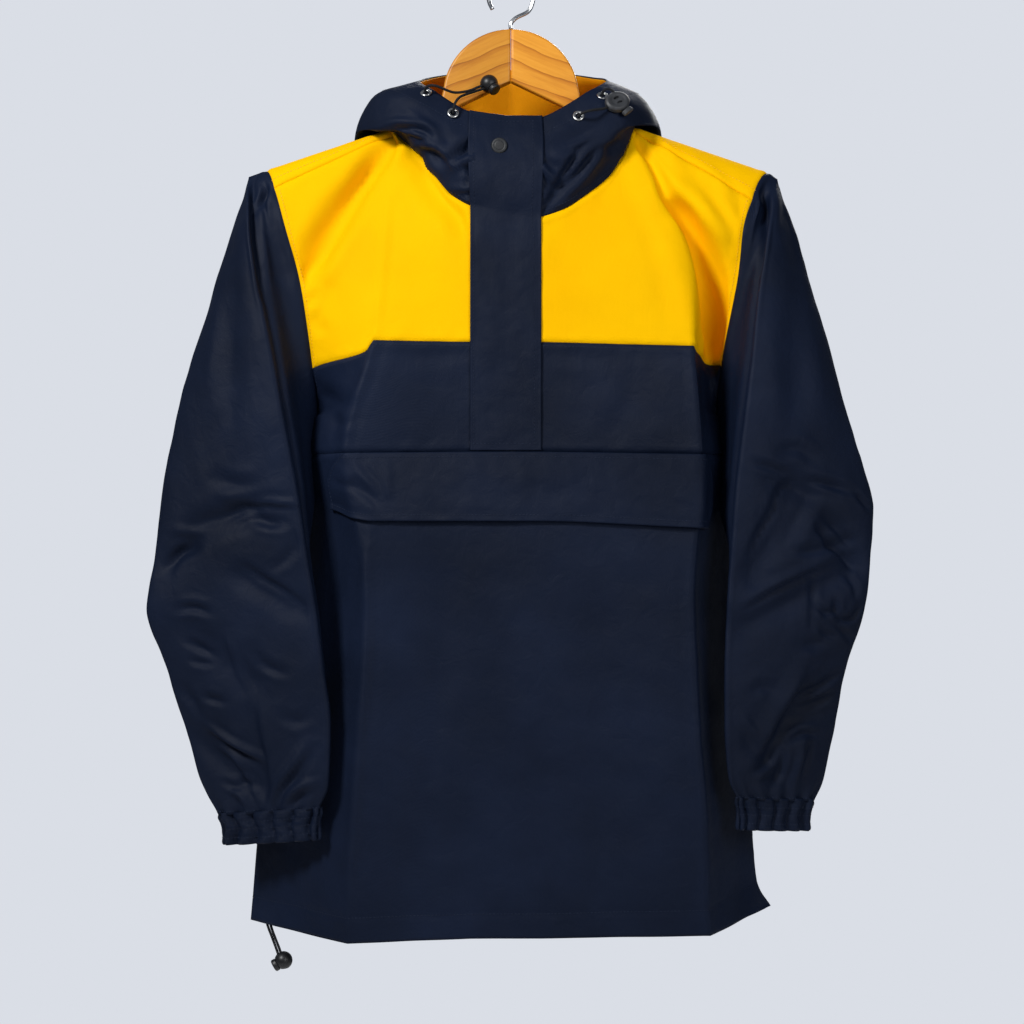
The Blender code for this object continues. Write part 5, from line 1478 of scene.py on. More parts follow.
# its own creases, where the end is folded back under the arm
FLAP_CREASES = (
    (-2.4, 3, 5, -155, -461, -142, -465, -132, -470, -121, -478, -112, -489),
    (1.4, 5, 5, -162, -470, -144, -476, -130, -484, -117, -493),
    (1.8, 2.5, 3, -139, -449, -126, -462, -118, -474, -113, -488),
    (-1.8, 3, 3, -133, -447, -119, -465, -111, -482),
    (1.3, 3, 3, -111, -442, -108, -463, -111, -486),
    (-2.0, 4, 4, -149, -443, -145, -451, -151, -459),
    (1.4, 4, 4, 165, -440, 168, -461, 169, -497),
    (-1.5, 3, 3, 172, -470, 173, -483, 171, -497),
    (0.9, 9, 12, -63, -452, 8, -458, 79, -451),
)
FLAP_ENDS, FLAP_STEPS, FLAP_THICK = (0.70, 6.28), 24, 1.9
down = fine_lines(0.0, 1.0, FLAP_STEPS, (0.0, 0.15, 0.4, 0.7, 1.0))
left_end = through((0, 0.35, 0.6, 1), (0.95, 0.71, 0.64, 0.66), down)[:, None]
right_end = through((0, 0.4, 0.65, 1), (6.08, 6.28, 6.28, 6.14), down)[:, None]
even_u = grid_lines(lambda u: front_grid(u, np.array([6.5]))[0], FLAP_ENDS)[None, :]
flap_u = even_u + (left_end - FLAP_ENDS[0]) * (1 - ease((even_u - FLAP_ENDS[0]) / 0.6))
flap_u = flap_u + (right_end - FLAP_ENDS[1]) * (1 - ease((FLAP_ENDS[1] - even_u) / 0.6))
lower_edge = 7.01 + 0.08 * ease((flap_u - 5) / 1.2) - 0.18 * ease((1.15 - flap_u) / 0.5)
flap_points = on_front(flap_u, 6 + down[:, None] * (lower_edge - 6))


def flap_curl(grid):
    """The flap's own creases, and the groove that its stitched hem makes."""
    held = 0.5 * np.exp(-(((from_edge(grid, "bottom") - 7) / 1.3) ** 2))
    return 0.8 * crease_height(grid[..., [0, 2]], FLAP_CREASES) * ease(from_edge(grid) / 3) - held


top_of_flap, flap_normals = laid_piece(
    "pocket_flap", flap_points, lambda s: 0.5 + 2.7 * s**0.7, FLAP_THICK, curl=flap_curl
)
print("pocket flap:", round(areas["pocket_flap"], 4), "square metres")

# %% [markdown]
# ## Gathered cuffs
#
# A wide elastic band is sewn inside each cuff while it is stretched; when it draws back, it
# pulls the cloth into even upright folds. The end ring of the sleeve is carried down with a
# wave round it, deepest between the rows of stitching, where nothing holds the folds flat.

# %% Cuffs
CUFF_HEIGHT, CUFF_ROWS = 27.5, (7.0, 13.5, 20.5)  # CUFF_ROWS: where the elastic is sewn
CUFF_DROPS = np.array([-2.0, 0.2, *np.linspace(1.5, CUFF_HEIGHT - 1.2, 20), CUFF_HEIGHT])
PER_GATHER = 10  # points round the cuff for one fold
FOLD = 3.2  # mm: the folds' depth at full strength


def cuff_points(side):
    """Points of a cuff: a row for each drop below the sleeve's end, the last column its first."""
    around = np.linspace(0, 8, PER_GATHER * GATHERS + 1)
    ring = sleeve_grid(side, around, np.array([12.0]))[0]
    centre = ring[:-1].mean(axis=0)
    spread = ring - centre
    spread[:, 2] *= 0.98
    way = np.gradient(np.concatenate([ring[-2:-1], ring, ring[1:2]]), axis=0)[1:-1]
    outward = unit(np.cross(way, (0, 0, 1.0)))
    outward *= np.sign(np.sum(outward * spread))
    down = np.array([0.03 if side == "left" else -0.02, 0.02, -1.0])
    chance = np.random.default_rng(71 if side == "left" else 72)
    drift = np.cumsum(chance.normal(0, 0.10, len(around)))
    drift -= np.linspace(0, drift[-1], len(around))
    phase = 2 * math.pi * GATHERS * around / 8 + drift
    deep = 0.5 * np.sin(around * 6.1) * np.sin(around * 9.3 + 1)
    deep = (1.2 if side == "left" else 1.0) + deep
    rows = []
    for drop in CUFF_DROPS:
        size = 1.0 - 0.07 * ease(drop / 12)
        held = sum(math.exp(-(((drop - row) / 1.7) ** 2)) for row in CUFF_ROWS)
        edge = ease((CUFF_HEIGHT - drop) / 2.0)
        depth = (0.6 + 0.4 * ease(drop / 4)) * (1 - 0.08 * held) * (0.85 + 0.15 * edge)
        turned = phase + 0.5 * np.sin(drop * 0.25 + around * 3)
        wave = 2 * np.abs(np.sin(turned / 2)) ** 0.6 - 1.2
        row = centre + spread * size + down * drop
        fold = wave * deep * depth * FOLD + 0.2 - 0.1 * held - 0.6 * (1 - edge)
        row = row + outward * fold[:, None]
        row[-1] = row[0]
        rows.append(row)
    return np.array(rows)


def tube_panel(name, grid, finish, thick, flip):
    """A tube from a grid whose last column is its first again."""
    rows, columns = grid.shape[0], grid.shape[1] - 1
    wrapped = np.concatenate([grid[:, -2:-1], grid, grid[:, 1:2]], axis=1)
    normals = grid_normals(wrapped)[:, 1:-1] * (-1 if flip else 1)
    u, v = lengths(grid, 1), lengths(grid, 0)
    faces, uvs = [], []
    for _, _, corners in cells(rows, columns + 1, flip):
        faces.append([k[0] * columns + k[1] % columns for k in corners])
        uvs.append([(u[k], v[k]) for k in corners])
    points = grid[:, :-1].reshape(-1, 3)
    dress(add_panel(name, points, normals[:, :-1].reshape(-1, 3), faces, uvs, thick), finish)


cuffs = {}
for side in ("left", "right"):
    cuffs[side] = cuff_points(side)
    tube_panel("cuff_" + side, cuffs[side], "navy", thick=1.0, flip=side == "left")
print("cuffs:", cuffs["left"].shape[1] - 1, "points round each")

# %% [markdown]
# ## Cords
#
# The drawstring of the hood leaves an eyelet, runs through a cord lock and goes back in by
# the other eyelet; the hem has the same with a ball lock hanging on it. A cord is a limp
# braid 2.4 mm thick. Each is a tube swept along one smooth line, so that its braid can
# follow its own length; its route is given by a few points that it passes.

# %% Smooth routes and tubes
CORD_THICK = 2.4


def tube(name, route, radius, sides=14, spacing=1.2):
    """A closed tube along a route, with a UV map: along it and round it, in metres."""
    line = smooth_line(route, spacing)
    ways = unit(np.gradient(line, axis=0))
    side = unit(np.cross(ways[0], (0.3, 0.2, 0.9)))
    turns = np.linspace(0, 2 * math.pi, sides, endpoint=False)
    rings = []
    for place, way in zip(line, ways):
        side = unit(side - way * side.dot(way))
        other = np.cross(way, side)
        ring = np.outer(np.cos(turns), side) + np.outer(np.sin(turns), other)
        rings.append(place + radius * ring)
    points = np.concatenate(rings + [line[:1], line[-1:]])
    reach = reach_along(line)
    faces, uvs = [], []
    round_step = 2 * math.pi * radius / sides
    for r in range(len(line) - 1):
        for c in range(sides):
            d = (c + 1) % sides
            faces.append([r * sides + c, r * sides + d, (r + 1) * sides + d, (r + 1) * sides + c])
            u, v = reach[r : r + 2], np.array([c, c + 1]) * round_step
            uvs += [(u[0], v[0]), (u[0], v[1]), (u[1], v[1]), (u[1], v[0])]
    first, last = len(line) * sides, len(line) * sides + 1
    for c in range(sides):
        d = (c + 1) % sides
        end = (len(line) - 1) * sides
        faces += [[first, d, c], [last, end + c, end + d]]
        uvs += [(0, 0)] * 6
    return new_object(name, points, faces, uvs), line


CORD_ROUTES = {
    "cord_left_upper": (
        (-76.0, -29.6, -114.1), (-76.8, -32.0, -111.6), (-75.6, -35.0, -109.4),
        (-71.8, -37.2, -108.2), (-66.5, -37.2, -108.8), (-59.5, -35.0, -111.2),
        (-51.0, -32.0, -113.4), (-42.0, -28.0, -112.0), (-34.5, -23.0, -109.0),
        (-30.1, -21.5, -106.7), (-25.6, -20.0, -104.9), (-18.4, -17.5, -101.9),
    ),
    "cord_left_lower": (
        (-51.6, -40.2, -133.9), (-51.3, -42.6, -132.8), (-50.8, -44.4, -130.4),
        (-50.2, -44.5, -127.2), (-48.8, -42.4, -123.4), (-46.0, -38.2, -119.2),
        (-41.5, -33.0, -115.8), (-35.0, -26.0, -112.2), (-29.1, -21.2, -109.2),
        (-24.7, -19.7, -107.4), (-17.5, -17.2, -104.4),
    ),
    "cord_right": (
        (60.4, -41.6, -136.7), (60.2, -44.6, -136.9), (61.2, -47.9, -136.4),
        (64.2, -50.6, -135.2), (68.8, -51.4, -133.8), (73.7, -50.2, -132.6),
        (78.4, -47.8, -131.5), (83.1, -45.4, -130.4), (86.3, -43.8, -128.6),
        (90.4, -41.2, -125.4), (92.9, -39.4, -121.0), (92.8, -38.0, -116.4),
        (90.8, -37.2, -113.0), (87.6, -36.6, -111.2), (84.3, -35.6, -111.6),
        (82.2, -33.6, -113.8), (82.0, -31.0, -116.9),
    ),
    "cord_hem_front": (
        (-226.0, 19.0, -861.0), (-224.6, 18.0, -868.0), (-219.5, 15.5, -881.0),
        (-215.2, 11.0, -890.3), (-213.5, 10.5, -895.0), (-210.7, 9.7, -902.6),
    ),
    "cord_hem_back": (
        (-222.5, 19.5, -862.0), (-221.4, 18.5, -869.0), (-216.5, 15.5, -882.0),
        (-212.7, 11.1, -889.4), (-211.0, 10.6, -894.1), (-208.2, 9.8, -901.7),
    ),
}
cords, cord_lines = {}, {}
for name, route in CORD_ROUTES.items():
    cords[name], cord_lines[name] = tube(name, route, CORD_THICK / 2)
    print(name, "%.1f mm long" % reach_along(cord_lines[name])[-1])

# %% [markdown]
# ## Braid, metal and moulded plastic
#
# A braided cord shows two sets of slanting strands that cross. Both sets are waves on the
# tube's UV map, one slanting each way, and the higher of the two is on top; the low places
# between the strands are painted near black, as painted shade. Moulded plastic has a fine
# grain and a soft shine; the eyelets are rolled steel with a thin coat.

# %% Hard materials
braid, given, result = value_group("braid", {"Strands per metre": 620.0}, ["Height", "Gap"])
split = node(braid, "SeparateXYZ", Vector=given.outputs["Vector"])
turns = maths(braid, "MULTIPLY", given.outputs["Strands per metre"], 2 * math.pi)
slants = []
for way in ("ADD", "SUBTRACT"):
    across = maths(braid, way, split.outputs[0], split.outputs[1])
    slants.append(maths(braid, "SINE", maths(braid, "MULTIPLY", across, turns)))
top = maths(braid, "MULTIPLY_ADD", maths(braid, "MAXIMUM", *slants), 0.5, 0.5)
connect(braid, result, Height=top, Gap=maths(braid, "POWER", top, 3.0))

cord_look, tree, shader = start_material("black braid", 0.72, 0.3)
uv = node(tree, "UVMap", {"uv_map": "cloth"}).outputs["UV"]
strands = node(tree, "Group", {"node_tree": braid}, Vector=uv)
# painted shade: the low places between the strands are painted near black, the strand tops
# lighter
stops = ((0.1, (4, 5, 7)), (0.6, (16, 18, 22)), (0.95, (34, 36, 41)))
colour = ramp(tree, strands.outputs["Gap"], stops)
normal = bumped(tree, strands.outputs["Height"], 0.8, 0.0004)
connect(tree, shader, Base_Color=colour, Normal=normal)


def plain_material(name, dark, light, roughness, metallic=0.0, bump=0.25, specular=0.5):
    """Plastic or metal: a fine grain in colour, roughness and bump, on Object coordinates."""
    made, tree, shader = start_material(name, roughness, specular, metallic)
    place = node(tree, "TexCoord").outputs["Object"]
    worn = node(tree, "Group", {"node_tree": tone}, Vector=place, Patch=120.0, Crumple=900.0)
    colour = ramp(tree, worn.outputs["Tone"], ((0.3, dark), (0.7, light)))
    rough = maths(tree, "MULTIPLY_ADD", worn.outputs["Crumple"], 0.2, roughness - 0.1)
    normal = bumped(tree, worn.outputs["Crumple"], bump, 0.0001)
    connect(tree, shader, Base_Color=colour, Roughness=rough, Normal=normal)
    return made


# finish: slot, name, dark colour, light colour, roughness, metallic, bump
HARD_FINISHES = {
    "lock": ("lock_plastic", "moulded black", (14, 15, 17), (24, 25, 28), 0.42),
    "oval": ("lock_plastic", "matt black", (40, 42, 45), (58, 60, 64), 0.5, 0.0, 0.5),
    "snap": ("snap_plastic", "snap black", (18, 20, 24), (30, 33, 38), 0.55, 0.0, 0.6),
    "eyelet": ("eyelet_steel", "eyelet steel", (190, 190, 188), (222, 222, 220), 0.28, 1.0),
    "wire": ("hook_steel", "bright wire", (196, 198, 200), (226, 228, 230), 0.2, 1.0),
    "teeth": ("zip_tape", "zip teeth", (16, 17, 20), (28, 30, 34), 0.38),
}
FINISHES["cord"] = (cord_look, "cord")
for finish, (slot, *settings) in HARD_FINISHES.items():
    FINISHES[finish] = (plain_material(*settings), slot)
for item in cords.values():
    dress(item, "cord")

# %% [markdown]
# ## Eyelets, snap and cord locks
#
# All of these are turned or moulded round pieces, so a profile is turned round an axis.
# The eyelet is a rolled rim; the snap's cap has a raised ring and a flat middle. The ball
# lock is a barrel with a spring plunger: the cord passes a hole through both, and the
# spring nips it. The flat oval lock works the same way, with a ribbed grip at its side.


# %% Turned pieces
RIB_DEPTH = 0.08


def frame_of(axis, along=None):
    """Three directions: two across an axis, the first as near along as it can be."""
    axis = unit(axis)
    if along is None:
        along = (1, 0, 0) if abs(axis[0]) < 0.9 else (0, 0, 1)
    near = np.array(along, float)
    side = unit(near - axis * near.dot(axis))
    return side, np.cross(axis, side), axis


def turned(name, profile, place, axis, sides=40, along=None, stretch=(1, 1), ribs=0):
    """Profile of (radius, height) from the top down, turned round the axis at place."""
    side, other, axis = frame_of(axis, along)
    turns = np.linspace(0, 2 * math.pi, sides, endpoint=False)
    points, rings = [], []
    for radius, level in profile:
        if radius == 0:
            rings.append([len(points)] * sides)
            points.append(np.array(place) + axis * level)
            continue
        rings.append(list(range(len(points), len(points) + sides)))
        for a in turns:
            r = radius + (RIB_DEPTH * math.cos(ribs * a) if ribs else 0.0)
            x, y = r * math.cos(a) * stretch[0], r * math.sin(a) * stretch[1]
            points.append(np.array(place) + side * x + other * y + axis * level)
    closed = profile[0][0] > 0
    pairs = list(zip(rings[:-1], rings[1:])) + ([(rings[-1], rings[0])] if closed else [])
    faces = []
    for upper, lower in pairs:
        for c in range(sides):
            d = (c + 1) % sides
            face = [upper[c], lower[c], lower[d], upper[d]]
            faces.append([i for n, i in enumerate(face) if i != face[n - 1]])
    return new_object(name, points, [f for f in faces if len(f) > 2])


def soft_corner(profile, radius=0.5, parts=3):
    """A profile with its inner corners rounded off."""
    made = [profile[0]]
    for before, here, after in zip(profile[:-2], profile[1:-1], profile[2:]):
        a, b, c = (np.array(p, float) for p in (before, here, after))
        cut = min(radius, np.linalg.norm(a - b) * 0.45, np.linalg.norm(c - b) * 0.45)
        start, end = b + unit(a - b) * cut, b + unit(c - b) * cut
        for n in range(parts + 1):
            t = n / parts
            made.append(tuple((1 - t) ** 2 * start + 2 * t * (1 - t) * b + t**2 * end))
    return made + [profile[-1]]


# %% Eyelets and snap
EYELET_OUTER, EYELET_HOLE = 5.2, 2.6
EYELETS = {
    "eyelet_left_upper": ((-76.0, -29.4, -114.3), (-0.087, -0.666, 0.740)),
    "eyelet_left_lower": ((-51.6, -39.8, -134.0), (0.094, -0.910, 0.404)),
    "eyelet_right_upper": ((82.2, -30.8, -117.1), (0.102, -0.727, 0.679)),
    "eyelet_right_lower": ((60.4, -41.3, -136.9), (-0.064, -0.912, 0.405)),
}
mean, half = (EYELET_OUTER + EYELET_HOLE) / 2, (EYELET_OUTER - EYELET_HOLE) / 2
turn = np.radians(range(90, -250, -20))
rim = [(mean + half * math.cos(a), 1.35 + 0.75 * math.sin(a)) for a in turn]
small = {}
for name, (place, out) in EYELETS.items():
    item = turned("ring_" + name, rim, place, out, sides=48)
    dress(item, "eyelet")
    small[name] = item
snap_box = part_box("placket_snap")
snap_at = tuple((snap_box[0][k] + snap_box[1][k]) / 2 / MM for k in range(3))
cap = [(0, 1.2), (3.6, 1.15), (4.2, 0.75), (4.6, 0.72), (5.2, 0.95), (6.3, 0.8)]
cap += [(7.2, -0.1), (7.1, -1.2), (0, -1.2)]
small["placket_snap"] = turned("snap_cap", soft_corner(cap, 0.4), snap_at, (0, -1, 0.06), 56)
dress(small["placket_snap"], "snap")
print("snap at", [round(c, 1) for c in snap_at])


# %% Holes for the cords
def bored(item, holes):
    """Cuts holes: (place, way, radius, length), and for a slot also (along, stretch)."""
    cutters = []
    for place, way, radius, length, *slot in holes:
        profile = [(0, length / 2), (radius, length / 2), (radius, -length / 2), (0, -length / 2)]
        cutter = turned("cutter", profile, place, way, 28, *slot)
        cut = item.modifiers.new("bore", "BOOLEAN")
        cut.object, cut.solver = cutter, "EXACT"
        cutters.append(cutter)
    graph = bpy.context.evaluated_depsgraph_get()
    mesh = bpy.data.meshes.new_from_object(item.evaluated_get(graph))
    item.modifiers.clear()
    item.data = mesh
    for cutter in cutters:
        bpy.data.objects.remove(cutter)
    mesh.set_sharp_from_angle(angle=math.radians(40))


# %% Ball locks
BALL_RADIUS = 8.2
BALL_LOCKS = {
    "hood_lock_left": ((-19.7, -17, -102.5), (0.58, -0.45, -0.68), (0.88, 0.30, 0.36)),
    "hem_lock": ((-208.5, 10, -900.5), (-0.86, -0.1, -0.50), (0.34, -0.1, -0.93)),
}
for name, (centre, axis, way) in BALL_LOCKS.items():
    centre, axis, way = np.array(centre), unit(axis), unit(way)
    r = BALL_RADIUS
    barrel = [(0, 0.60 * r), (0.56 * r, 0.60 * r), (0.56 * r, 0.74 * r), (0.68 * r, 0.73 * r)]
    barrel += [(r * math.cos(a), r * math.sin(a)) for a in np.radians(range(38, -89, -9))]
    barrel += [(0, -r)]
    body = turned("ball_" + name, soft_corner(barrel, 0.35), centre, axis, sides=48)
    bored(body, [(centre + axis * 1.5, way, 2.9, 3 * r)])
    foot = centre + axis * (0.62 * r + 0.3)
    head, stem, recess = 0.68 * r, 0.5 * r, 0.13 * r
    button = [(0, recess + 4.2), (head - 1.0, recess + 4.2), (head, recess + 3.3), (head, recess)]
    button += [(stem, recess), (stem, 0), (0, 0)]
    plunger = turned("button_" + name, soft_corner(button, 0.4), foot, axis, sides=60, ribs=20)
    small[name], small[name + "_plunger"] = body, plunger
    for item in (body, plunger):
        dress(item, "lock")

# %% Oval lock
OVAL_CENTRE = np.array((95.0, -39.4, -123.5))
OVAL_FACE, OVAL_ALONG = unit((0.17, -0.87, 0.46)), (0.79, 0.0, 0.61)
side = frame_of(OVAL_FACE, OVAL_ALONG)[0]
half, r = 3.5, 10.0
disc = [(0, half - 0.5), (r - 4.6, half - 0.5), (r - 3.8, half), (r - 1.6, half)]
disc += [(r, half - 1.6), (r, 1.6 - half), (r - 1.6, -half), (0, -half)]
disc = soft_corner(disc, 0.5)
body = turned("oval_lock", disc, OVAL_CENTRE, OVAL_FACE, 64, OVAL_ALONG, (1.18, 1))
holes = []
for way in (np.array(OVAL_ALONG), np.array((0.45, 0.0, -0.90))):
    way = unit(way - OVAL_FACE * way.dot(OVAL_FACE))
    holes.append((OVAL_CENTRE - way * (r - 1), way, 1.65, r))
across = unit(np.cross(OVAL_FACE, side))
for sign in (-1, 1):
    slot = OVAL_CENTRE + across * 2.7 * sign + OVAL_FACE * half
    holes.append((slot, OVAL_FACE, 1.45, 4.2, side, (2.0, 1)))
bored(body, holes)
small["hood_lock_right"] = body
grip_way = np.array([0.62, 0.0, -0.75])
grip_way = unit(grip_way - OVAL_FACE * grip_way.dot(OVAL_FACE))
ribbed = [(0, 3.8), (5.3, 3.8)]
for level in (3.3, 2.1, 0.9):
    ribbed += [(5.9, level), (5.9, level - 0.5), (5.25, level - 0.7), (5.25, level - 0.85)]
ribbed = ribbed[:-1] + [(5.3, 0), (0, 0)]
seat = OVAL_CENTRE + grip_way * (r * 1.06 + 0.3)
grip_along = tuple(np.cross(OVAL_FACE, grip_way))
grip = turned("oval_grip", ribbed, seat, grip_way, 40, grip_along, (1, 0.48))
small["hood_lock_right_grip"] = grip
for item in (body, grip):
    dress(item, "oval")
for name, item in small.items():
    stands_for(item, name)
print("small hard pieces:", len(small))

CORD_NODES = {
    "cord_left_upper": ("hood_cord_left_upper",),
    "cord_left_lower": ("hood_cord_left_lower",),
    "cord_right": ("hood_cord_right_lower", "hood_cord_right_upper"),
    "cord_hem_front": ("hem_cord_front",),
    "cord_hem_back": ("hem_cord_back",),
}
for name, item in cords.items():
    line = cord_lines[name] * MM
    stands_for(item, *CORD_NODES[name])
    tuple(line[0])
    float(reach_along(line)[-1])
    "hanging" if "hem" in name else "loose"
    [tuple(p) for p in line]

# %% [markdown]
# ## The hanger
#
# Two boards are glued together at the middle, so the grain meets there in a chevron. They
# are cut from one outline and their edges are rounded over by a cutter. A filled 2-D curve
# with a bevel makes exactly that. The hook is wire, bent over a former.

# %% The outline of a board
WIRE, BOARD_THICK, ROUND_OVER = 3.8, 12.0, 2.6


def board_outline(side):
    """Half of the hanger, from the joint at the middle to the end of the arm."""
    dome = [(-62 * math.sin(a), -112 + 62 * math.cos(a)) for a in np.radians(range(0, 77, 4))]
    upper = [(-63, -112), (-70, -120), (-84, -131), (-104, -144.8)]
    lower = [(-205, -198), (-160, -187), (-112, -168), (-84, -146), (-46, -120), (0, -98)]
    end = [(-208, -181), (-214, -186), (-212, -194)]
    ridge = [(-120, -149.6), (-140, -156.2), (-180, -170)]
    outline = np.array(dome + upper + ridge + end + lower)
    outline[:, 0] = np.minimum(outline[:, 0], -0.15)
    if side == "right":
        outline[:, 0] *= -1
    return outline


def plain_mesh(item):
    """A curve, or an object with modifiers, as a plain mesh with its place in it."""
    bpy.context.view_layer.update()
    graph = bpy.context.evaluated_depsgraph_get()
    mesh = bpy.data.meshes.new_from_object(item.evaluated_get(graph))
    mesh.transform(item.matrix_world)
    made = bpy.data.objects.new(item.name, mesh)
    item.name = "draft"
    bpy.context.scene.collection.objects.link(made)
    bpy.data.objects.remove(item)
    made.name = mesh.name = made.name.split(".")[0]
    return made


# %% Boards
def make_board(side):
    """Half of the hanger: the filled outline, bevelled, turned upright and made a mesh."""
    data = bpy.data.curves.new("board_" + side, "CURVE")
    data.dimensions, data.fill_mode = "2D", "BOTH"
    data.extrude = (BOARD_THICK / 2 - ROUND_OVER) * MM
    data.bevel_depth, data.bevel_resolution, data.offset = ROUND_OVER * MM, 5, -ROUND_OVER * MM
    line = data.splines.new("POLY")
    outline = board_outline(side)
    line.points.add(len(outline) - 1)
    for point, (x, z) in zip(line.points, outline):
        point.co = (x * MM, z * MM, 0, 1)
    line.use_cyclic_u = True
    item = bpy.data.objects.new("board_" + side, data)
    bpy.context.scene.collection.objects.link(item)
    item.rotation_euler = (math.radians(90), 0, 0)
    made = plain_mesh(item)
    shape = bmesh.new()
    shape.from_mesh(made.data)
    bmesh.ops.remove_doubles(shape, verts=shape.verts, dist=1e-6)
    bmesh.ops.recalc_face_normals(shape, faces=shape.faces)
    shape.to_mesh(made.data)
    shape.free()
    made.data.polygons.foreach_set("use_smooth", [True] * len(made.data.polygons))
    made.data.set_sharp_from_angle(angle=math.radians(35))
    return made


# %% Varnished wood
def wood_material(name, turn, light):
    """Varnished wood whose grain runs along X once it is turned about Y."""
    made, tree, shader = start_material(name, 0.45, 0.3, Coat_Weight=0.1, Coat_Roughness=0.3)
    place = node(tree, "TexCoord").outputs["Object"]
    turned_place = node(tree, "Mapping", Vector=place, Rotation=(0.0, turn, 0.0)).outputs[0]
    cut = node(tree, "Group", {"node_tree": grain}, Vector=turned_place)
    base = maths(tree, "MULTIPLY_ADD", cut.outputs["Line"], -0.42, 0.42)
    base = maths(tree, "MULTIPLY_ADD", cut.outputs["Streak"], 0.46, base)
    stops = [(0.12, (138, 76, 14)), (0.42, (200, 124, 30)), (0.66, (226, 152, 46))]
    stops.append((0.9, (240, 172, 64)))
    stops = [(at, [part * light for part in colour]) for at, colour in stops]
    rough = maths(tree, "MULTIPLY_ADD", cut.outputs["Pore"], 0.2, 0.32)
    normal = bumped(tree, cut.outputs["Streak"], 0.25, 0.0003)
    connect(tree, shader, Base_Color=ramp(tree, base, stops), Roughness=rough, Normal=normal)
    return made


for side, turn, light in (("left", math.radians(24), 0.92), ("right", math.radians(-22), 1.02)):
    board = make_board(side)
    FINISHES["wood_" + side] = (wood_material("varnished wood " + side, turn, light), "wood")
    stands_for(board, "hanger_board_" + side)
    dress(board, "wood_" + side)

# %% Hook
HOOK_ROUTE = (
    (-16.8, 0, -31.0), (-19.8, 0, -24.4), (-20.4, 0, -17.2), (-18.6, 0, -10.2), (-14.5, 0, -4.2),
    (-8.7, 0, -0.1), (-1.8, 0, 1.8), (5.3, 0, 1.2), (11.7, 0, -1.9), (16.8, 0, -7.0),
    (19.8, 0, -13.6), (16.7, 0, -32.0), (3.0, 0, -40.3), (0, 0, -43.9), (0, 0, -49.7),
)
hook, _ = tube("wire_hook", HOOK_ROUTE, WIRE / 2, sides=24, spacing=1.5)
stands_for(hook, "hanger_hook")
dress(hook, "wire")
print("hanger made")

# %% [markdown]
# ## Stitches and zip teeth
#
# A row of stitches is one small shape repeated at an even pitch along a line on the cloth,
# turned to lie along the line and flat on the surface. That is what Geometry Nodes are for:
# the lines are edges with a direction out of the cloth on each point, the tree resamples
# them at the pitch and puts the shape on each point. The same tree makes the zip's teeth.

# %% The row tree
ROW_INPUTS = (
    ("Geometry", "Geometry", None),
    ("Pitch", "Float", 0.0032),
    ("Length", "Float", 0.0024),
    ("Width", "Float", 0.0006),
    ("Height", "Float", 0.0005),
    ("Seed", "Int", 5),
    ("Material", "Material", None),
)


def row_tree(name, shape):
    """Instances of a shape along the input's edges, laid flat by the attribute out."""
    tree = bpy.data.node_groups.new(name, "GeometryNodeTree")
    add_sockets(tree, "IN", ROW_INPUTS)
    add_sockets(tree, "OUT", [("Geometry", "Geometry", None)])
    given, result = tree.nodes.new("NodeGroupInput"), tree.nodes.new("NodeGroupOutput")

    def add(kind, settings=None, number=0, **sockets):
        """A node's output, in this tree."""
        return node(tree, kind, settings, **sockets).outputs[number]

    size = {"X": "Length", "Y": "Width", "Z": "Height"}
    size = {axis: given.outputs[label] for axis, label in size.items()}
    line = add("GeometryNodeMeshToCurve", Mesh=given.outputs["Geometry"])
    by_length = {"mode": "LENGTH"}
    even = add("GeometryNodeResampleCurve", by_length, Curve=line, Length=given.outputs["Pitch"])
    out = add("GeometryNodeInputNamedAttribute", {"data_type": "FLOAT_VECTOR"}, Name="out")
    tangent = add("GeometryNodeInputTangent")
    turn = add("FunctionNodeAlignRotationToVector", {"axis": "X"}, Vector=tangent)
    up = {"axis": "Z", "pivot_axis": "X"}
    flat = add("FunctionNodeAlignRotationToVector", up, Rotation=turn, Vector=out)
    if shape == "thread":
        bead = add("GeometryNodeMeshUVSphere", Segments=6, Rings=4, Radius=0.5)
    else:
        bead = add("GeometryNodeMeshCube", Size=(1.0, 1.0, 1.0))
    seeded = {"Seed": given.outputs["Seed"], "i2": 0.9, "i3": 1.1}  # least and most
    chance = add("FunctionNodeRandomValue", {"data_type": "FLOAT"}, 1, **seeded)
    size = add("CombineXYZ", **size)
    uneven = add("VectorMath", {"operation": "SCALE"}, Vector=size, Scale=chance)
    put = {"Points": even, "Instance": bead, "Rotation": flat, "Scale": uneven}
    real = add("GeometryNodeInstanceOnPoints", **put)
    real = add("GeometryNodeRealizeInstances", Geometry=real)
    done = add("GeometryNodeSetMaterial", Geometry=real, Material=given.outputs["Material"])
    tree.links.new(done, result.inputs[0])
    return tree


ROW_LIFT = 0.15  # mm from the line to the middle of a stitch or a tooth


def row_piece(name, tree, lines, look, slot, **sizes):
    """One piece of all the rows: lines are (points, directions out), in millimetres."""
    points, edges, outs = [], [], []
    for places, out in lines:
        start = len(points)
        points += [tuple((p + n * ROW_LIFT) * MM) for p, n in zip(places, out)]
        outs += [tuple(n) for n in out]
        edges += [(start + i, start + i + 1) for i in range(len(places) - 1)]
    mesh = bpy.data.meshes.new(name)
    mesh.from_pydata(points, edges, [])
    stored = mesh.attributes.new("out", "FLOAT_VECTOR", "POINT")
    stored.data.foreach_set("vector", np.array(outs).ravel())
    draft = bpy.data.objects.new(name, mesh)
    bpy.context.scene.collection.objects.link(draft)
    rows = draft.modifiers.new("rows", "NODES")
    rows.node_group = tree
    named = {s.name: s.identifier for s in tree.interface.items_tree if s.in_out == "INPUT"}
    for label, value in dict(sizes, Material=look).items():
        rows[named[label]] = value
    made = plain_mesh(draft)
    made.data.polygons.foreach_set("use_smooth", [True] * len(made.data.polygons))
    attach(made, "root")
    print(name, len(made.data.polygons), "faces")


